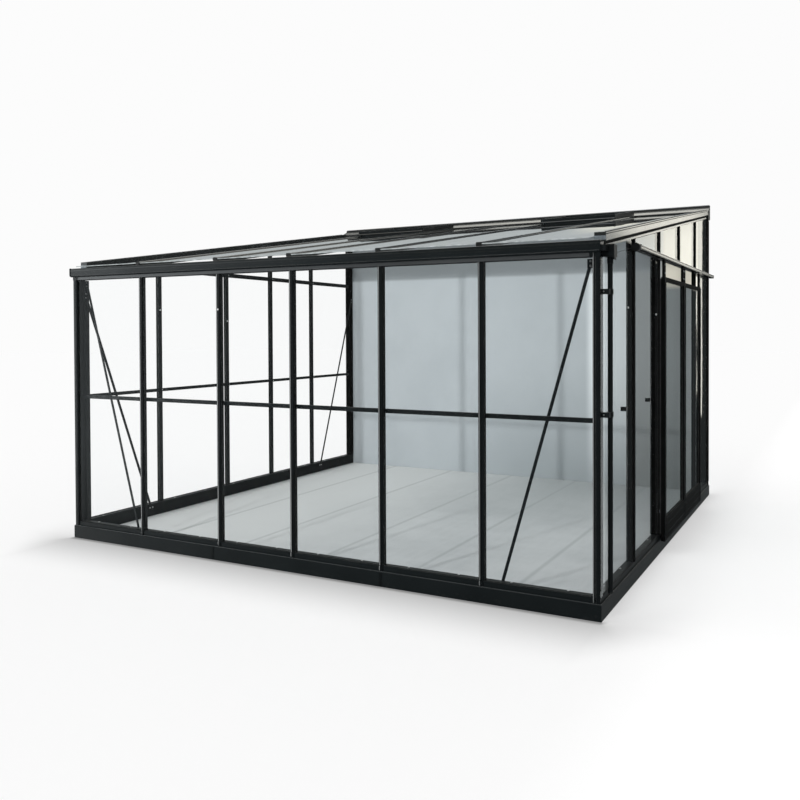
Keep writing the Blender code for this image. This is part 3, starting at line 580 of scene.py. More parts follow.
def strips(name, outlines, finish, top, rise=0.0):
    """Upright strips on (outline, foot) pairs; rise makes their tops follow the roof."""
    mesh = bpy.data.meshes.new(name)
    verts, faces = [], []
    for points, z in outlines:
        area = sum(p[0] * q[1] - q[0] * p[1] for p, q in zip(points, points[1:] + points[:1]))
        faces.append(tuple(range(len(verts), len(verts) + len(points))))
        verts += [(x, y, z) for x, y in (points if area > 0 else points[::-1])]
    mesh.from_pydata(verts, [], faces)
    return RAISED.make(link(name, mesh), finish, Top=top, Rise=rise)


def cords(name, paths, finish, radius, body="building"):
    """Round cords along (points, closed) paths; a closed path returns to its start."""
    mesh = bpy.data.meshes.new(name)
    verts, edges = [], []
    for points, closed in paths:
        first = len(verts)
        verts += points
        edges += [(i, i + 1) for i in range(first, len(verts) - 1)]
        if closed:
            edges.append((len(verts) - 1, first))
    mesh.from_pydata(verts, edges, [])
    return CORDS.make(link(name, mesh), finish, body, Radius=radius)


def level(reach, y, z):
    """A straight path along the front, as far to the left as to the right."""
    return [(-reach, y, z), (reach, y, z)], False


def screws(name, spots, finish, body="building", **sizes):
    """Screw heads at (place, facing) pairs."""
    mesh = bpy.data.meshes.new(name)
    mesh.from_pydata([place for place, facing in spots], [], [])
    mesh.attributes.new("facing", "FLOAT_VECTOR", "POINT").data.foreach_set(
        "vector", [c for place, facing in spots for c in facing])
    return SCREWS.make(link(name, mesh), finish, body, **sizes)


# Walls

def on_front(x):
    return lambda a, out: (x + a, FRONT - out)


def on_left(y):
    return lambda a, out: (LEFT - out, y + a)


def on_right(y):
    return lambda a, out: (RIGHT + out, y + a)


def mirrored(right):
    """A whole section from its right half, top to bottom and back."""
    return right + [(-a, out) for a, out in reversed(right)]


def cover_section():
    """Whole cover strip: sloped sides, a flat top and a groove along its middle."""
    return mirrored([(COVER_HALF, COVER_BACK), (COVER_HALF, COVER_EDGE), (FLAT_HALF, COVER_TOP),
                     (GROOVE_HALF, COVER_TOP), (GROOVE_HALF - 0.0006, GROOVE_ROOT)])


def flat_section(top):
    """The flat strips on the right gable: low where the sliding leaves pass, deep above them."""
    half = COVER_HALF - 0.003
    return mirrored([(half, COVER_BACK), (half, top - 0.0010), (COVER_HALF - 0.0040, top)])


def cover_tail():
    """The strip's lower end, which laps over the sill down to the plinth's ledge."""
    half = COVER_HALF - 0.002
    return mirrored([(half, TAIL_ROOT), (half, TAIL_ROOT + 0.0008), (FLAT_HALF, TAIL_TOP)])


def drawn(section, places, foot):
    """The section at each place on its wall, with the height of its foot."""
    return [([place(a, out) for a, out in section], foot) for place in places]


def make_cover_strips():
    """Cover strips on the front and on both gables, with their tails over the sill."""
    foot = SILL_TOP + LIFT
    front = [on_front(x) for x in FRONT_XS[1:-1]]
    left = [on_left(y) for y in LEFT_YS[1:-1]]
    right = [on_right(RIGHT_YS[i]) for i in (1, 2, 4)]
    upper = [on_right(y) for y in RIGHT_YS[1:-1]]
    beside_track = 0.004
    rake = RAKE_UNDER_Z - 0.001
    strips("front_cover_strips", drawn(cover_section(), front, foot), COVER_COAT, EAVES_Z - 0.0005)
    strips("left_cover_strips", drawn(cover_section(), left, foot), COVER_COAT, rake, ROOF_RISE)
    strips("right_cover_strips", drawn(flat_section(SLIM_TOP), right, foot),
           DULL_PAINTED_SHADE_COAT, TRACK_LOW_Z - beside_track)
    strips("upper_cover_strips", drawn(flat_section(DEEP_TOP), upper, TRACK_HIGH_Z + beside_track),
           DULL_PAINTED_SHADE_COAT, rake, ROOF_RISE)
    strips("cover_strip_tails", drawn(cover_tail(), front + left, PLINTH_TOP + LIFT),
           COVER_COAT, foot - 0.0002)


def make_corner_covers():
    """Strips on the outer faces of the four upright posts, bevelled along one edge."""
    base = POST_HALF + GAP
    lap = PLINTH_TOP + LIFT
    proud = base + 0.0048
    bevelled = [(-0.0155, base), (-0.0155, base + 0.0006), (-0.0085, proud), (-0.0050, proud),
                (-0.0040, base)]
    flat = eased(rectangle(0.0040, 0.0290, base, base + 0.0018), 0.001)
    front, rear = [], []
    for side, edge in SIDES:
        for section in (bevelled, flat):
            front.append(([(edge + side * a, FRONT - o) for a, o in section], lap))
        if side < 0:
            for section in (bevelled, flat):
                front.append(([(edge + side * o, FRONT - a) for a, o in section], lap))
        for a0, a1 in ((-0.0560, -0.0340), (-0.0290, -0.0070)):
            section = eased(rectangle(a0, a1, base, base + 0.0020), 0.001)
            rear.append(([(edge + side * o, REAR + a) for a, o in section], lap))
    strips("corner_post_covers", front, COVER_COAT, EAVES_Z + 0.022)
    strips("wall_post_covers", rear, DULL_PAINTED_SHADE_COAT, EAVES_Z + 0.090)


def make_jamb_edges():
    """Bevelled edge strips on the room side of the bars beside the sliding doors."""
    width, depth, bevel = 0.0120, 0.0050, 0.0020
    edges = []
    for bar in (1, 2):
        x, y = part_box("right_bar_%d" % bar)[0][0] + STUB_REACH, RIGHT_YS[bar] - BAR_HALF - GAP
        outline = [(x + 0.0006, y), (x + width, y), (x + width, y - depth), (x + width - bevel, y - depth)]
        edges.append((outline, SILL_TOP + LIFT))
    strips("jamb_edge_strips", edges, COVER_COAT, HEADER_Z - 0.022)


def clear_stretches(stands, beside, first, last):
    """Each bay from bar to bar: so far beside a bar, and other distances at the two ends."""
    end = len(stands) - 2
    return [(stands[i] + (beside if i else first), stands[i + 1] - (beside if i < end else last))
            for i in range(end + 1)]


def glazing_path(place, a0, a1, z0, z1, out, rise=0.0):
    """A pane's edge line on one wall; the top corners follow the slope."""
    corners = [(a0, z0), (a1, z0), (a1, z1 + rise * a1), (a0, z1 + rise * a0)]
    return [(*place(a, out), z) for a, z in corners], True


def make_seals():
    """Rubber round each wall pane, on its outer and inner face, and along the wall posts."""
    z0, z1 = SILL_TOP + 0.003, EAVES_Z - 0.002
    beside, corner = 0.0200, 0.0172
    faces = (GLASS_OUT + 0.0014, GLASS_IN - 0.0014)
    doorway = (2, 3)
    paths = []
    for x0, x1 in clear_stretches(FRONT_XS, beside, corner, corner):
        paths += [glazing_path(on_front(0.0), x0, x1, z0, z1, out) for out in faces]
    rake = RAKE_UNDER_Z - 0.003 - ROOF_RISE * FRONT
    for place, ys, skipped in ((on_left(0.0), LEFT_YS, ()), (on_right(0.0), RIGHT_YS, doorway)):
        for bay, (y0, y1) in enumerate(clear_stretches(ys, beside, corner, 0.062)):
            if bay in skipped:
                continue
            top = rake if bay else min(rake, z1 - ROOF_RISE * y0)
            paths += [glazing_path(place, y0, y1, z0, top, out, ROOF_RISE) for out in faces]
    cords("wall_glass_seals", paths, SEAL, 0.0012)
    posts = []
    beside_post, y, top = POST_HALF + 0.0022, REAR - 0.0030, 2.795
    for side, edge in SIDES:
        for out in (-beside_post, beside_post):
            x = edge + side * out
            posts.append(([(x, y, SILL_TOP + 0.004), (x, y, top)], False))
    cords("house_wall_seals", posts, SEAL, 0.0022)


# Roof and gutter

def make_roof_bars():
    """Low roof bars, flat caps just above the glass, with kerbs that carry the vents."""
    y_high = RIDGE_FRONT - GAP
    kerb_start = RIDGE_FRONT - VENT_LENGTH - 0.004
    pane_low, pane_high, lip, web = -0.0228, -0.0180, -0.0160, 0.0110
    right = [(BAR_HALF, -ROOF_BAR_DEPTH), (BAR_HALF, pane_low), (web, pane_low), (web, pane_high),
             (BAR_HALF, pane_high), (BAR_HALF, lip), (BAR_HALF - 0.0030, CAP_UP),
             (0.0040, CAP_UP), (0.0034, CAP_UP - 0.0012)]
    for i, x in enumerate(FRONT_XS[1:-1], 1):
        bar = Piece("roof_bar_%d_profile" % i)
        outline = [(x + a, up) for a, up in right] + [(x - a, up) for a, up in reversed(right)]
        bar.run(*sloped(outline, ROOF_BAR_START, y_high))
        if i != 3:
            kerb = eased(rectangle(x - 0.0165, x + 0.0165, CAP_UP + 0.0002, -0.0002), 0.001)
            bar.run(*sloped(kerb, kerb_start, y_high))
        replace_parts(bar.done(PAINTED_SHEEN_COAT), "roof_bar_%d" % i)


def make_roof_plugs():
    """Moulded plugs at the roof bars' and verges' lower ends, and the beads along the verges."""
    plugs, ends, beads = Piece("roof_bar_plugs"), Piece("verge_plugs"), Piece("verge_beads")
    for x in FRONT_XS[1:-1]:
        plug = eased(rectangle(x - 0.0185, x + 0.0185, -0.0330, CAP_UP + 0.0010), 0.004)
        plugs.run(*sloped(plug, ROOF_BAR_START - 0.0042, ROOF_BAR_START - GAP))
    for side, edge in SIDES:
        mid = edge + side * (VERGE_OUT - POST_HALF) / 2
        plug = eased(rectangle(mid - 0.0340, mid + 0.0340, -0.0420, -0.0170), 0.003)
        ends.run(*sloped(plug, VERGE_START - 0.0030, VERGE_START - GAP))
        lip = edge + side * (VERGE_OUT - 0.004)
        foot, top = VERGE_LIP + GAP, VERGE_LIP + 0.0030
        bead = [(lip - 0.0045, foot), (lip + 0.0045, foot), (lip + 0.0040, top), (lip - 0.0040, top)]
        beads.run(*sloped(bead, VERGE_START, RIDGE_FRONT - 0.001))
    plugs.done(MOULDED)
    ends.done(GUIDE_GREY)
    beads.done(FRAME_COAT)


def make_eaves_strip():
    """Smooth strip along the beam under the gutter, in a grey coat for a painted sheen."""
    strip = Piece("eaves_lower_strip")
    out, reach = POST_HALF + 0.0030 + GAP, RIGHT - 0.034
    section = rectangle(FRONT - out - 0.0012, FRONT - out, EAVES_Z + 0.0010, EAVES_Z + 0.0232)
    strip.run(eased(section, 0.0004), along_x(-reach, reach))
    strip.done(PAINTED_SHEEN_STRIP_COAT)


def make_pane_edges():
    """Channel along each roof pane's lower edge, with a drip lip, pale grey as a painted reflection."""
    edges = Piece("roof_pane_edges")
    y = FRONT - 0.0460
    section = [(y - 0.0020, -0.0235), (y - 0.0026, -0.0230), (y - 0.0026, -0.0176), (y - 0.0020, -0.0172),
               (y + 0.0040, -0.0172), (y + 0.0040, -0.0180), (y - 0.0010, -0.0182), (y - 0.0010, -0.0235)]
    outline = [(a, roof_z(a) + up) for a, up in section]
    at_verge = POST_HALF + 0.001
    for x0, x1 in clear_stretches(FRONT_XS, 0.0200, at_verge, at_verge):
        edges.run(outline, along_x(x0, x1))
    edges.done(PANE_EDGE_PAINTED_REFLECTION)


def make_verge_trim():
    """Dark joint line on each verge, and on each rake rail a lower strip in the painted-sheen coat as a
    painted highlight.
    """
    joints, lower = Piece("verge_joint_lines"), Piece("rake_lower_strips")
    y_high = RIDGE_FRONT - 0.002
    for side, edge in SIDES:
        def band(low_out, high_out, low_up, high_up):
            xs = sorted((edge + side * low_out, edge + side * high_out))
            return rectangle(xs[0], xs[1], low_up, high_up)
        joint = band(VERGE_OUT + GAP, VERGE_OUT + 0.0010, -0.0110, -0.0060)
        joints.run(*sloped(joint, VERGE_START + 0.002, y_high))
        # A thin strip in the painted-sheen coat: a painted highlight band on the rake rail
        strip = eased(band(POST_HALF + GAP, POST_HALF + 0.0030, -0.0840, -0.0690), 0.0006)
        lower.run(*sloped(strip, FRONT + 0.034, y_high))
    joints.done(SEAL)
    lower.done(PAINTED_SHEEN_COAT)


def make_vent_fittings():
    """Hinge line, drip bead, pane seals and corner screws of the two roof vents."""
    hinges, drips, spots, seals = [], Piece("vent_drip_beads"), [], []
    inset, screw_inset = 0.040, 0.019
    for number in (1, 2):
        low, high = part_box("vent_%d" % number)
        x0, x1, y0, y1 = low[0], high[0], low[1], high[1]
        hinge_y = y1 - 0.006
        hinge_z = roof_z(hinge_y) + VENT_HEIGHT + 0.0022
        hinges.append(([(x0 + 0.02, hinge_y, hinge_z), (x1 - 0.02, hinge_y, hinge_z)], False))
        front = roof_z(y0)
        drips.run([(y0 - 0.0002, front + 0.0050), (y0 - 0.0036, front + 0.0020),
                   (y0 - 0.0042, front + 0.0040), (y0 - 0.0002, front + 0.0110)],
                  along_x(x0 + 0.004, x1 - 0.004))
        for x in (x0 + screw_inset, x1 - screw_inset):
            for y in (y0 + screw_inset, (y0 + y1) / 2, y1 - 0.026):
                spots.append(((x, y, roof_z(y) + VENT_HEIGHT + SEAT), (0.0, -ROOF_RISE, 1.0)))
        corners = rectangle(x0 + inset, x1 - inset, y0 + inset, y1 - inset)
        seals.append(([(x, y, roof_z(y) + VENT_HEIGHT / 2 + 0.0040) for x, y in corners], True))
    cords("vent_hinge_lines", hinges, FRAME_COAT, 0.0035)
    drips.done(COVER_COAT)
    cords("vent_pane_seals", seals, SEAL, 0.0020)
    screws("vent_corner_screws", spots, DARK_SCREW, Washer=0.0065, Head=0.0045, Height=0.0024)


def make_ridge_rail():
    """The ridge rail: a flashing that slopes up from the panes to an upright fold."""
    front, back = RIDGE_FRONT + 0.0010, REAR - GAP
    fold, groove = REAR - 0.0120, front + 0.0085
    glass_low, glass_high = roof_z(front) - 0.0230, roof_z(front) - 0.0174
    outline = [(back, RIDGE_LOW), (back, RIDGE_TOP), (REAR - 0.0100, RIDGE_TOP + 0.0020),
               (fold, RIDGE_TOP - 0.0010), (fold, RIDGE_TOP - 0.0180),
               (front + 0.0055, glass_high + 0.0110), (front, glass_high + 0.0075), (front, glass_high),
               (groove, glass_high), (groove, glass_low), (front, glass_low), (front, RIDGE_LOW)]
    reach = RIGHT + VERGE_OUT
    rail = Piece("ridge_rail_profile")
    rail.run(outline, along_x(-reach, reach))
    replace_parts(rail.done(PAINTED_SHEEN_COAT), "ridge_rail")


def make_ridge_trim():
    """The ridge rail's lower bead, the seal along its rear top edge and its end plates."""
    reach = RIGHT + VERGE_OUT
    low = roof_z(RIDGE_FRONT)
    cords("ridge_lower_bead", [level(reach - 0.004, RIDGE_FRONT + 0.0042, low - 0.0052)],
          FRAME_COAT, 0.0016)
    cords("ridge_wall_bead", [level(reach - 0.004, REAR - 0.0045, RIDGE_TOP + 0.0034)], SEAL, 0.0034)
    plates = Piece("ridge_end_plates")
    back, front, foot, top = REAR - 0.0006, RIDGE_FRONT + 0.0080, 2.807, RIDGE_TOP - 0.0020
    outline = eased([(back, foot), (back, top), (REAR - 0.0115, top), (REAR - 0.0120, RIDGE_TOP - 0.0190),
                     (front, low - 0.0070), (front, foot)], 0.002)
    spots = []
    for side in (-1, 1):
        plates.run(outline, along_x(side * (reach + 0.0002), side * (reach + 0.0022)))
        for y, z in ((REAR - 0.020, 2.830), (REAR - 0.020, 2.915), (RIDGE_FRONT + 0.026, 2.830)):
            spots.append(((side * (reach + 0.0024), y, z), (side, 0.0, 0.0)))
    plates.done(FRAME_COAT)
    screws("ridge_end_screws", spots, DARK_SCREW, Washer=0.0060, Head=0.0045, Height=0.0022)


def make_gutter_trim():
    """The gutter's rolled rim, the lines along its front, its end screws and its straps."""
    reach = GUTTER_REACH - 0.006
    y = FRONT - GUTTER_OUT
    # The rim bead is in the painted-sheen coat: a painted highlight along the rim
    cords("gutter_rim_bead", [level(reach, y + 0.0012, GUTTER_RIM_Z - 0.0024)], PAINTED_SHEEN_COAT, 0.0030)
    caps = []
    for side in (-1, 1):
        for y_cap, z_cap in ((FRONT - 0.0510, 2.1340), (FRONT - 0.0510, 2.1820), (FRONT - 0.0340, 2.1340)):
            caps.append(((side * (GUTTER_REACH + SEAT), y_cap, z_cap), (side, 0.0, 0.0)))
    screws("gutter_cap_screws", caps, DARK_SCREW, Washer=0.0034, Head=0.0030, Height=0.0016)
    # Thin ridges in the painted-sheen coat: painted highlight lines along the gutter's front
    trim = Piece("gutter_front_lines")
    whole = along_x(0.004 - reach, reach - 0.004)
    for z0, z1, out in ((2.1705, 2.1780, 0.0016), (2.1560, 2.1590, 0.0016), (2.1320, 2.1345, 0.0012)):
        trim.run(eased(rectangle(y - out, y + 0.0005, z0, z1), 0.0006), whole)
    trim.done(PAINTED_SHEEN_COAT)
    straps = Piece("gutter_straps")
    half, inset = 0.012, 0.06
    for x in FRONT_XS:
        x = min(max(x, LEFT + inset), RIGHT - inset)
        straps.block(x - half, x + half, FRONT - 0.0535, FRONT - 0.0315, 2.1865, 2.1885, 0.0006)
    straps.done(FRAME_COAT)


# Pipe, plinth and bolts

def make_pipe_fittings():
    """Rolled bands on the rainwater pipe, its clip screws and the outlet box's lid and spout lip."""
    bands = Piece("pipe_bands")

    def band(z, radius, proud, height):
        bands.turned([(-height, radius), (-height * 0.6, radius + proud), (height * 0.6, radius + proud),
                      (height, radius)], (PIPE_X, PIPE_Y, z))
    band(0.1535, PIPE_RADIUS + 0.0002, 0.0016, 0.0030)
    for z in CLIP_ZS:
        for edge in (-0.0125, 0.0125):
            band(z + edge, PIPE_RADIUS + 0.0042, 0.0010, 0.0018)
    for below in (0.0380, 0.0200):
        band(OUTLET_LOW_Z - below, PIPE_RADIUS + 0.0032, 0.0014, 0.0022)
    bands.done(FRAME_COAT)
    box = Piece("outlet_box_rims")
    half = OUTLET_HALF - 0.0002
    box.block(PIPE_X - half, PIPE_X + half, PIPE_Y - half, PIPE_Y + half,
              OUTLET_HIGH_Z + GAP, OUTLET_HIGH_Z + 0.0032, 0.002)
    side, top = PIPE_X + half, OUTLET_LOW_Z - GAP
    box.run([(PIPE_X + 0.010, top), (side, top), (side, OUTLET_LOW_Z - 0.0160),
             (side - 0.004, OUTLET_LOW_Z - 0.0180)], along_y(PIPE_Y - 0.030, PIPE_Y + 0.012))
    box.done(FRAME_COAT)
    screws("pipe_clip_screws", [((RIGHT + 0.0440, FRONT - 0.0092, z), SOUTH) for z in CLIP_ZS],
           STAINLESS, Washer=0.0052, Head=0.0042, Height=0.0024)


def make_plinth_trim():
    """A painted highlight line along the plinth's outer top edge, joint covers and the anchor screws on
    the sill.
    """
    z = PLINTH_TOP + 0.0004
    out = PLINTH_OUT - 0.0034
    x, y, y_end = RIGHT + out, FRONT - out, REAR - 0.002
    cords("plinth_edge_highlight_line", [([(-x, y_end, z), (-x, y, z), (x, y, z), (x, y_end, z)], False)],
          PAINTED_HIGHLIGHT_COAT, 0.0016)
    joints = Piece("plinth_joint_covers")
    face, half, thick = PLINTH_OUT + GAP, 0.012, 0.0014

    def cover(a0, a1, place):
        joints.run(eased(rectangle(a0, a1, 0.004, PLINTH_TOP - 0.005), 0.0006), place)
    for x in (-BAY, BAY):
        cover(FRONT - face - thick, FRONT - face, along_x(x - half, x + half))
    for side in (-1, 1):
        cover(*sorted((side * (RIGHT + face), side * (RIGHT + face + thick))), along_y(-half, half))
    joints.done(PLINTH_COAT)
    top, inset, shares = SILL_TOP + SEAT, 0.018, (0.25, 0.75)
    spots = [((LEFT + BAY * (bay + share), FRONT + inset, top), UP)
             for bay in range(len(FRONT_XS) - 1) for share in shares]
    spots += [((side * (RIGHT - inset), FRONT + BAY * (bay + share), top), UP)
              for side in (-1, 1) for bay in range(len(LEFT_YS) - 1) for share in shares]
    screws("anchor_screws", spots, STAINLESS, Washer=0.0080, Head=0.0055, Height=0.0030)


def make_brace_bolts():
    """Two bolts at each end of each brace; those at the front braces' heads show from both sides."""
    plate_back, plate_front = FRONT + 0.0358, FRONT + 0.0304
    head_x, foot_x = RIGHT - 0.0473, RIGHT - BAY + 0.110
    head_z, foot_z = 2.067, 0.105
    bolts = []
    for side in (-1, 1):
        for step in (-0.014, 0.014):
            bolts.append(((side * foot_x + step, plate_back, foot_z), NORTH))
            bolts.append(((side * head_x, plate_back, head_z + step), NORTH))
            bolts.append(((side * head_x, plate_front, head_z + step), SOUTH))
    x = LEFT + 0.0358
    for y, z, across, up in ((FRONT + BAY - 0.090, foot_z, 0.014, 0.0),
                             (REAR - BAY + 0.080, foot_z, 0.014, 0.0),
                             (FRONT + 0.0306, 1.975, 0.0, 0.016), (REAR - POST_HALF, head_z, 0.0, 0.016)):
        for step in (-1, 1):
            bolts.append(((x, y + across * step, z + up * step), EAST))
    screws("brace_bolts", bolts, STAINLESS, Washer=0.0070, Head=0.0052, Height=0.0034)


def make_frame_bolts():
    """Bolts on the rails, bars and posts."""
    face = 0.0246
    rails = [((x, FRONT + face, MID_RAIL_Z), NORTH) for x in FRONT_XS[1:-1]]
    for y in LEFT_YS[1:-1]:
        rails += [((LEFT + face, y, z), EAST) for z in (MID_RAIL_Z, HEADER_Z)]
    rails += [((RIGHT - face, y, HEADER_Z), WEST) for y in RIGHT_YS[1:-1]]
    for bar in (1, 2):
        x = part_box("right_bar_%d" % bar)[0][0] + 0.012
        rails.append(((x, RIGHT_YS[bar], MID_RAIL_Z + 0.0142), UP))
    screws("rail_bolts", rails, STAINLESS, Washer=0.0062, Head=0.0046, Height=0.0030)
    beside = BAR_HALF + 0.0004
    # These bolt heads are real; their pale caps paint glints.
    pale = [((LEFT + 0.0044, LEFT_YS[1], 1.880), EAST),
            ((LEFT + 0.0044, LEFT_YS[2], 1.790), EAST),
            ((RIGHT - 0.0100, RIGHT_YS[1] - beside, 1.830), SOUTH),
            ((RIGHT + 0.0080, RIGHT_YS[2] - beside, 1.800), SOUTH),
            ((RIGHT - 0.0215, FRONT + 0.0268, 1.810), SOUTH),
            ((FRONT_XS[2], FRONT - COVER_TOP - 0.0004, 1.840), SOUTH)]
    screws("pale_bolts", pale, PALE_GLINT_CAP, Washer=0.0072, Head=0.0058, Height=0.0034)
    wall = [((side * (RIGHT - POST_HALF - 0.0004), REAR - POST_HALF, z), (-side, 0.0, 0.0))
            for side in (-1, 1) for z in (0.40, 1.00, 1.60, 2.20, 2.66)]
    screws("wall_bolts", wall, DARK_SCREW, Washer=0.0090, Head=0.0062, Height=0.0040)


# Doors

def make_track_fittings():
    """Fine lines on the door track's face, its end pieces and the screws through its flange."""
    y0, y1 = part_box("door_track")[0][1] + 0.012, REAR - 0.012
    x = RIGHT + TRACK_OUT
    dark = Piece("track_joint_lines")
    for low in (TRACK_LOW_Z + 0.0012, TRACK_HIGH_Z - 0.0086):
        dark.run(eased(rectangle(x + GAP, x + 0.0012, low, low + 0.0040), 0.0003), along_y(y0, y1))
    dark.done(SEAL)
    block = Piece("track_front_block")
    outline = eased(eased(rectangle(RIGHT + 0.0240, RIGHT + 0.0810, 2.1970, 2.2530), 0.016), 0.006)
    block_y = y0 - 0.012
    block.run(outline, along_y(block_y - GAP, block_y - 0.040))
    block.done(MOULDED)
    stop = Piece("track_rear_stop")
    stop_y = 0.5500
    stop.block(RIGHT + 0.0320, RIGHT + 0.0560, stop_y, stop_y + 0.030,
               TRACK_HIGH_Z + GAP, TRACK_HIGH_Z + 0.0150, 0.003)
    stop.done(MOULDED)
    count, inset = 9, 0.06
    ys = [y0 + inset + (y1 - y0 - inset * 2) * i / (count - 1) for i in range(count)]
    screws("track_screws", [((RIGHT + 0.0362, y, TRACK_HIGH_Z + SEAT), UP) for y in ys],
           DARK_SCREW, Washer=0.0048, Head=0.0038, Height=0.0022)
    guide = Piece("jamb_stop_plate")
    y = RIGHT_YS[2]
    guide.run(eased(rectangle(y - 0.0150, y + 0.0130, 0.300, 0.326), 0.004),
              along_x(RIGHT + (SLIM_TOP + GAP), RIGHT + 0.0345))
    guide.done(GUIDE_GREY)


def make_leaf_fittings(word):
    """Beads, seals, lines, bolts and guides of one sliding leaf; they ride with it."""
    body = "door_leaf_" + word
    (x0, y0, _), (x1, y1, _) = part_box("door_%s_frame" % word)
    open_y = (y0 + 0.042, y1 - 0.042)
    open_z = (LEAF_LOW_Z + 0.170, LEAF_HIGH_Z - 0.030)
    mid, inset = (x0 + x1) / 2, 0.0022
    corners = rectangle(open_y[0] + inset, open_y[1] - inset, open_z[0] + inset, open_z[1] - inset)
    paths = [([(x, a, b) for a, b in corners], True) for x in (mid - 0.0046, mid + 0.0046)]
    cords("door_%s_glazing_beads" % word, paths, SEAL, 0.0020, body)
    trim = Piece("door_%s_face_lines" % word)
    wide = 0.0030
    for face, out in ((x1, 1), (x0, -1)):
        xs = sorted((face + out * GAP, face + out * 0.0014))

        def rib(a0, a1, b0, b1):
            trim.run(eased(rectangle(a0, a1, b0, b1), 0.0004), along_x(*xs))
        for stile in (y0 + 0.0030, open_y[0] - 0.0060, open_y[1] + 0.0030, y1 - 0.0060):
            rib(stile, stile + wide, LEAF_LOW_Z + 0.004, LEAF_HIGH_Z - 0.004)
        for line in (LEAF_LOW_Z + 0.010, LEAF_LOW_Z + 0.052, open_z[0] - 0.052, open_z[0] - 0.008):
            rib(open_y[0] + 0.002, open_y[1] - 0.002, line, line + wide)
    trim.done(COVER_COAT, body)
    spots = []
    for y in (y0 + 0.021, y1 - 0.021):
        for z in (LEAF_LOW_Z + 0.030, LEAF_LOW_Z + 0.140, LEAF_HIGH_Z - 0.015):
            spots += [((x1 + SEAT, y, z), EAST), ((x0 - SEAT, y, z), WEST)]
    screws("door_%s_corner_screws" % word, spots, DARK_SCREW, body,
           Washer=0.0050, Head=0.0038, Height=0.0022)
    hangers = [((x1 - 0.0058, y, LEAF_HIGH_Z + up), EAST)
               for y in (y0 + 0.0265, y1 - 0.0265) for up in (0.030, 0.095)]
    screws("door_%s_hanger_bolts" % word, hangers, STAINLESS, body,
           Washer=0.0085, Head=0.0064, Height=0.0042)
    brush = Piece("door_%s_brushes" % word)
    outer = y0 + 0.004 if word == "front" else y1 - 0.012
    brush.block(x0 - 0.0120, x0 - GAP, outer, outer + 0.0080,
                LEAF_LOW_Z + 0.050, LEAF_HIGH_Z - 0.010, 0.002)
    slim = (x0 + 0.004, x1 - 0.004)
    if word == "front":
        brush.block(*slim, y1 + GAP, y1 + 0.0052, LEAF_LOW_Z + 0.010, LEAF_HIGH_Z - 0.010, 0.0012)
    brush.done(SEAL, body)
    shoes = Piece("door_%s_guide_shoes" % word)
    for y in (y0 + 0.030, y1 - 0.080):
        shoes.block(*slim, y, y + 0.050, LEAF_LOW_Z - 0.0090, LEAF_LOW_Z - GAP, 0.003)
    shoes.done(MOULDED, body)


# The studio

def make_camera():
    """The photograph's eye, turned by yaw, then pitch, then roll."""
    right = Vector((math.cos(YAW), math.sin(YAW), 0.0))
    ahead = Vector((-math.sin(YAW), math.cos(YAW), 0.0))
    up = Vector(UP)
    ahead, up = (ahead * math.cos(PITCH) + up * math.sin(PITCH),
                 up * math.cos(PITCH) - ahead * math.sin(PITCH))
    right, up = (right * math.cos(ROLL) + up * math.sin(ROLL),
                 up * math.cos(ROLL) - right * math.sin(ROLL))
    data = bpy.data.cameras.new("photograph_view")
    data.sensor_width = SENSOR
    data.lens = FOCAL_PIXELS * SENSOR / PICTURE
    data.shift_x = (PICTURE / 2 - CENTRE_U) / PICTURE
    data.shift_y = (CENTRE_V - PICTURE / 2) / PICTURE
    data.clip_end = 200.0
    camera = link("photograph_view", data)
    turn = Matrix((right, up, -ahead)).transposed().to_4x4()
    camera.matrix_world = Matrix.Translation(EYE) @ turn
    bpy.context.scene.camera = camera


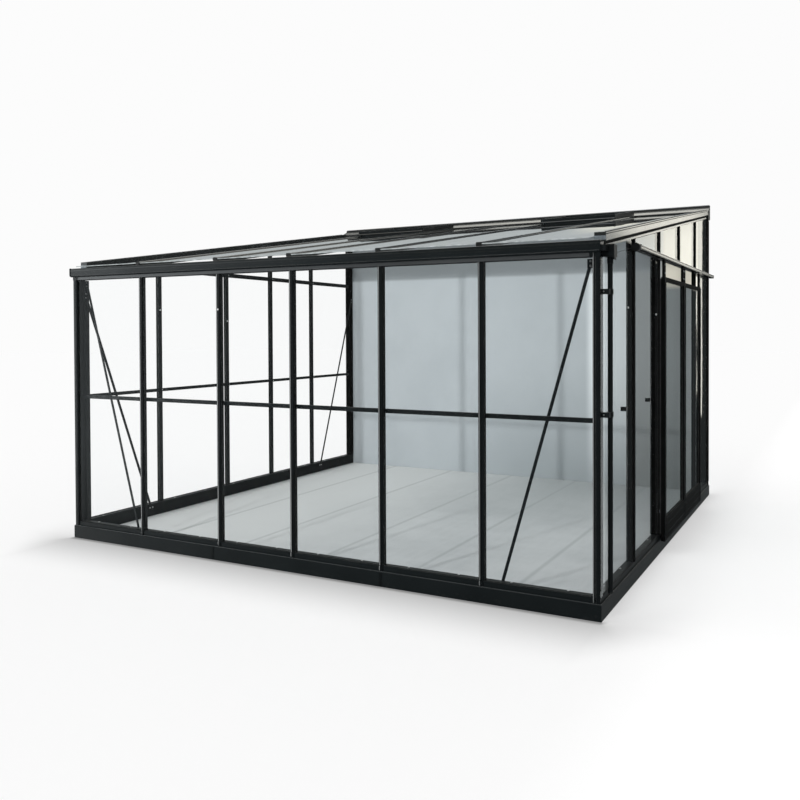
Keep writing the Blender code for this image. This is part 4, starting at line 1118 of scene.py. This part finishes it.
def make_world():
    """White for the eye and for diffuse light; gloss sees a grey studio with pale panels.

    A panel is placed in degrees: turn from +Y towards +X, and rise above the horizon.
    """
    world = bpy.data.worlds.new("studio")
    bpy.context.scene.world = world
    world.use_nodes = True
    b = Bench(world.node_tree)
    b.tree.nodes.clear()
    heading = b.add("ShaderNodeTexCoord", out="Generated")
    x = b.add("ShaderNodeSeparateXYZ", None, {"Vector": heading}, out="X")
    y, z = b.other(x, "Y"), b.other(x, "Z")
    turn = x.sum("ARCTAN2", x, y) * (180 / math.pi)
    rise = z.sum("ARCSINE", z) * (180 / math.pi)
    low = 1.0 - rise.between(8.0, 12.0)
    cream_edge = (4.0 + (turn - 11.5) * 0.75 - (1.0 - turn.between(10.05, 10.2)) * 9.0
                  + (1.0 - turn.between(9.74, 9.80)) * 60.0)
    cream_rise = (rise - cream_edge).between(-0.15, 0.35) * (1.0 - rise.between(18.0, 26.0))
    side_grey = turn.band(0.0, 5.0, 30.0, 50.0) * (1.0 - rise.between(12.0, 20.0))
    left_front = turn.band(-150.0, -122.0, -104.0, -92.0) * rise.band(-16.0, -6.0, 14.0, 24.0)
    left_low = turn.band(-124.0, -116.0, -86.0, -80.0) * rise.band(-26.0, -16.0, 10.0, 16.0)
    grey_panel = turn.band(-74.0, -62.0, -6.0, -2.0) * rise.band(6.0, 7.6, 17.0, 25.0)
    cream_low = turn.band(-20.5, -16.5, -6.0, -2.0) * rise.band(8.0, 9.5, 12.0, 12.5)
    low_ceiling, ceiling = rise.between(33.0, 43.0), rise.between(48.0, 66.0)
    colour = b.tint(z.between(-0.2, 0.5), (0.045, 0.050, 0.052), (0.13, 0.14, 0.145))
    for panel, tone in (
            (side_grey, (0.36, 0.385, 0.39)),
            (turn.band(7.0, 9.0, 16.90, 16.96) * low, (0.03, 0.034, 0.035)),
            (turn.band(17.09, 17.15, 17.6, 18.4) * low, (1.00, 1.05, 1.06)),
            (left_front, (0.62, 0.66, 0.68)),
            (low_ceiling, (1.40, 1.38, 1.28)),
            (left_low, (3.0, 3.1, 3.1)),
            (ceiling, (2.2, 2.25, 2.3)),
            (grey_panel, (0.47, 0.50, 0.505)),
            (cream_low, (0.80, 0.785, 0.69)),
            (turn.band(3.0, 6.0, 17.5, 24.0) * cream_rise, (1.62, 1.58, 1.42))):
        colour = b.tint(panel, colour, tone)
    off_white, white = (0.973, 0.973, 0.973, 1.0), (1.0, 1.0, 1.0, 1.0)
    seen, shine, fill = (
        b.add("ShaderNodeBackground", None, {"Color": shade, "Strength": strength})
        for shade, strength in ((off_white, 1.0), (colour, 1.0), (white, 0.60)))
    path = b.add("ShaderNodeLightPath", out="Is Camera Ray")
    shader = b.add("ShaderNodeMixShader", None, {0: b.other(path, "Is Glossy Ray"), 1: fill, 2: shine})
    shader = b.add("ShaderNodeMixShader", None, {0: path, 1: shader, 2: seen})
    b.add("ShaderNodeOutputWorld", None, {"Surface": shader})


def make_lights(reached):
    """A broad soft sun, and a lamp that reaches only some objects, so that it leaves no pool."""
    sun = bpy.data.lights.new("window_light", "SUN")
    sun.energy, sun.angle = 1.50, math.radians(60.0)
    obj = link("window_light", sun)
    obj.rotation_euler = Vector((0.55, 0.45, -1.0)).to_track_quat("-Z", "Y").to_euler()
    obj.visible_glossy = False
    lamp = bpy.data.lights.new("standing_lamp", "AREA")
    lamp.shape, lamp.size = "DISK", 0.10
    lamp.energy = 150.0
    obj = link("standing_lamp", lamp)
    place, aim = Vector((-0.75, -6.3, 1.8)), Vector((0.3, 1.0, 0.9))
    obj.location = place
    obj.rotation_euler = (aim - place).to_track_quat("-Z", "Y").to_euler()
    obj.visible_glossy = False
    obj.visible_camera = False
    group = bpy.data.collections.new("standing_lamp_reach")
    for piece in reached:
        group.objects.link(piece)
    obj.light_linking.receiver_collection = group


def make_stage_floor():
    """Pale floor with a painted soft shadow along the plinth and painted light to the right of the
    building.
    """
    f = Finish("stage_floor_white")
    floor = Piece("stage_floor")
    floor.run(rectangle(-60.0, 60.0, -60.0, 60.0), lambda a, b, end: (a, b, 0.0 if end else -0.02))
    across = f.axis("X")
    ahead = FRONT - PLINTH_OUT - f.axis("Y")
    aside = across.sum("ABSOLUTE", across) - (RIGHT + PLINTH_OUT)
    beyond = aside.sum("MAXIMUM", aside, 0.0)
    away = ahead.sum("MAXIMUM", ahead, 0.0) + beyond
    spread = beyond * 2.0
    # Painted shadow: darker close to the plinth, darkest right at its foot
    shade = ahead.between(-0.02 - spread, spread + 0.01) * (
        (1.0 - away.between(-0.12, 0.66)) * 0.43 + (1.0 - away.between(0.0, 0.05)) * 0.35)
    # Painted light: the floor is lighter to the right of the building
    painted_light_right = f.tint(across.between(2.30, 2.90), (1.0, 1.0, 1.0), (1.15, 1.15, 1.15))
    ground = link("stage_floor", floor.mesh(f.show(f.add("ShaderNodeBsdfPrincipled", None, {
        "Base Color": f.tint(shade, (0.53, 0.53, 0.53), (0.0, 0.0, 0.0)), "Roughness": 1.0,
        "Specular IOR Level": 0.0, "Emission Color": f.tint(shade, painted_light_right, (0.0, 0.0, 0.0)),
        "Emission Strength": 0.45}))))
    ground.location.z = -0.001
    ground.visible_glossy = False


def make_stage_wall():
    """Plain backdrop behind the open rear, with painted light and shade in soft zones, clear when seen
    from behind.
    """
    f = Finish("stage_wall_plaster")
    height, across = f.axis("Z"), f.axis("X")
    cloud = f.noise(1.2, 4.0, 0.6)
    # Painted shade low down, towards the right and in a band along the top; painted light in a pale band
    # and a cream patch near the right end; a near-black painted shadow at the right edge
    low = 1.0 - height.between(-0.5, 1.5)
    right = f.tint(height.between(0.0, 1.5), (0.265, 0.285, 0.285), (0.345, 0.37, 0.375))
    right = f.tint(across.between(1.90, 1.98) * 0.6, right, (0.48, 0.51, 0.515))
    corner = across.between(1.72, 1.80) * height.between(2.10, 2.16)
    shade = f.tint(cloud.between(0.3, 0.7), (0.500, 0.545, 0.570), (0.540, 0.585, 0.610))
    for zone, tone in (
            (low * across.between(-1.6, 1.2) * 0.62, (0.22, 0.25, 0.26)),
            (across.between(-0.8, 0.9) * 0.16, (0.25, 0.28, 0.285)),
            (across.between(0.90, 0.98) * height.between(-0.4, 1.6), (0.73, 0.78, 0.80)),
            (across.between(1.42, 1.47), right),
            (height.between(2.290, 2.330), (0.320, 0.350, 0.365)),
            (corner, (0.74, 0.70, 0.60)),
            (across.between(2.11, 2.13), (0.012, 0.012, 0.012))):
        shade = f.tint(zone, shade, tone)
    behind = f.add("ShaderNodeNewGeometry", out="Backfacing")
    plaster = f.add("ShaderNodeBsdfDiffuse", None, {"Color": shade})
    clear = f.add("ShaderNodeBsdfTransparent", None, {"Color": (1.0, 1.0, 1.0, 1.0)})
    mesh = bpy.data.meshes.new("stage_wall")
    x0, x1, top = LEFT - 0.030, RIGHT + 0.030, roof_z(REAR) + 0.030
    y = REAR + 0.004
    mesh.from_pydata([(x0, y, 0.0), (x1, y, 0.0), (x1, y, top), (x0, y, top)], [], [(0, 1, 2, 3)])
    mesh.materials.append(f.show(f.add("ShaderNodeMixShader", None, {0: behind, 1: plaster, 2: clear})))
    wall = link("stage_wall", mesh)
    wall.visible_glossy = False
    return wall


dress_frame()
make_cover_strips()
make_corner_covers()
make_jamb_edges()
make_seals()
make_roof_bars()
make_roof_plugs()
make_eaves_strip()
make_pane_edges()
make_verge_trim()
make_vent_fittings()
make_ridge_rail()
make_ridge_trim()
make_gutter_trim()
make_pipe_fittings()
make_plinth_trim()
make_brace_bolts()
make_frame_bolts()
make_track_fittings()
make_leaf_fittings("front")
make_leaf_fittings("rear")
make_camera()
make_world()
make_stage_floor()
make_lights([make_stage_wall(), *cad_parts.values()])
bpy.context.scene.view_settings.view_transform = "Standard"
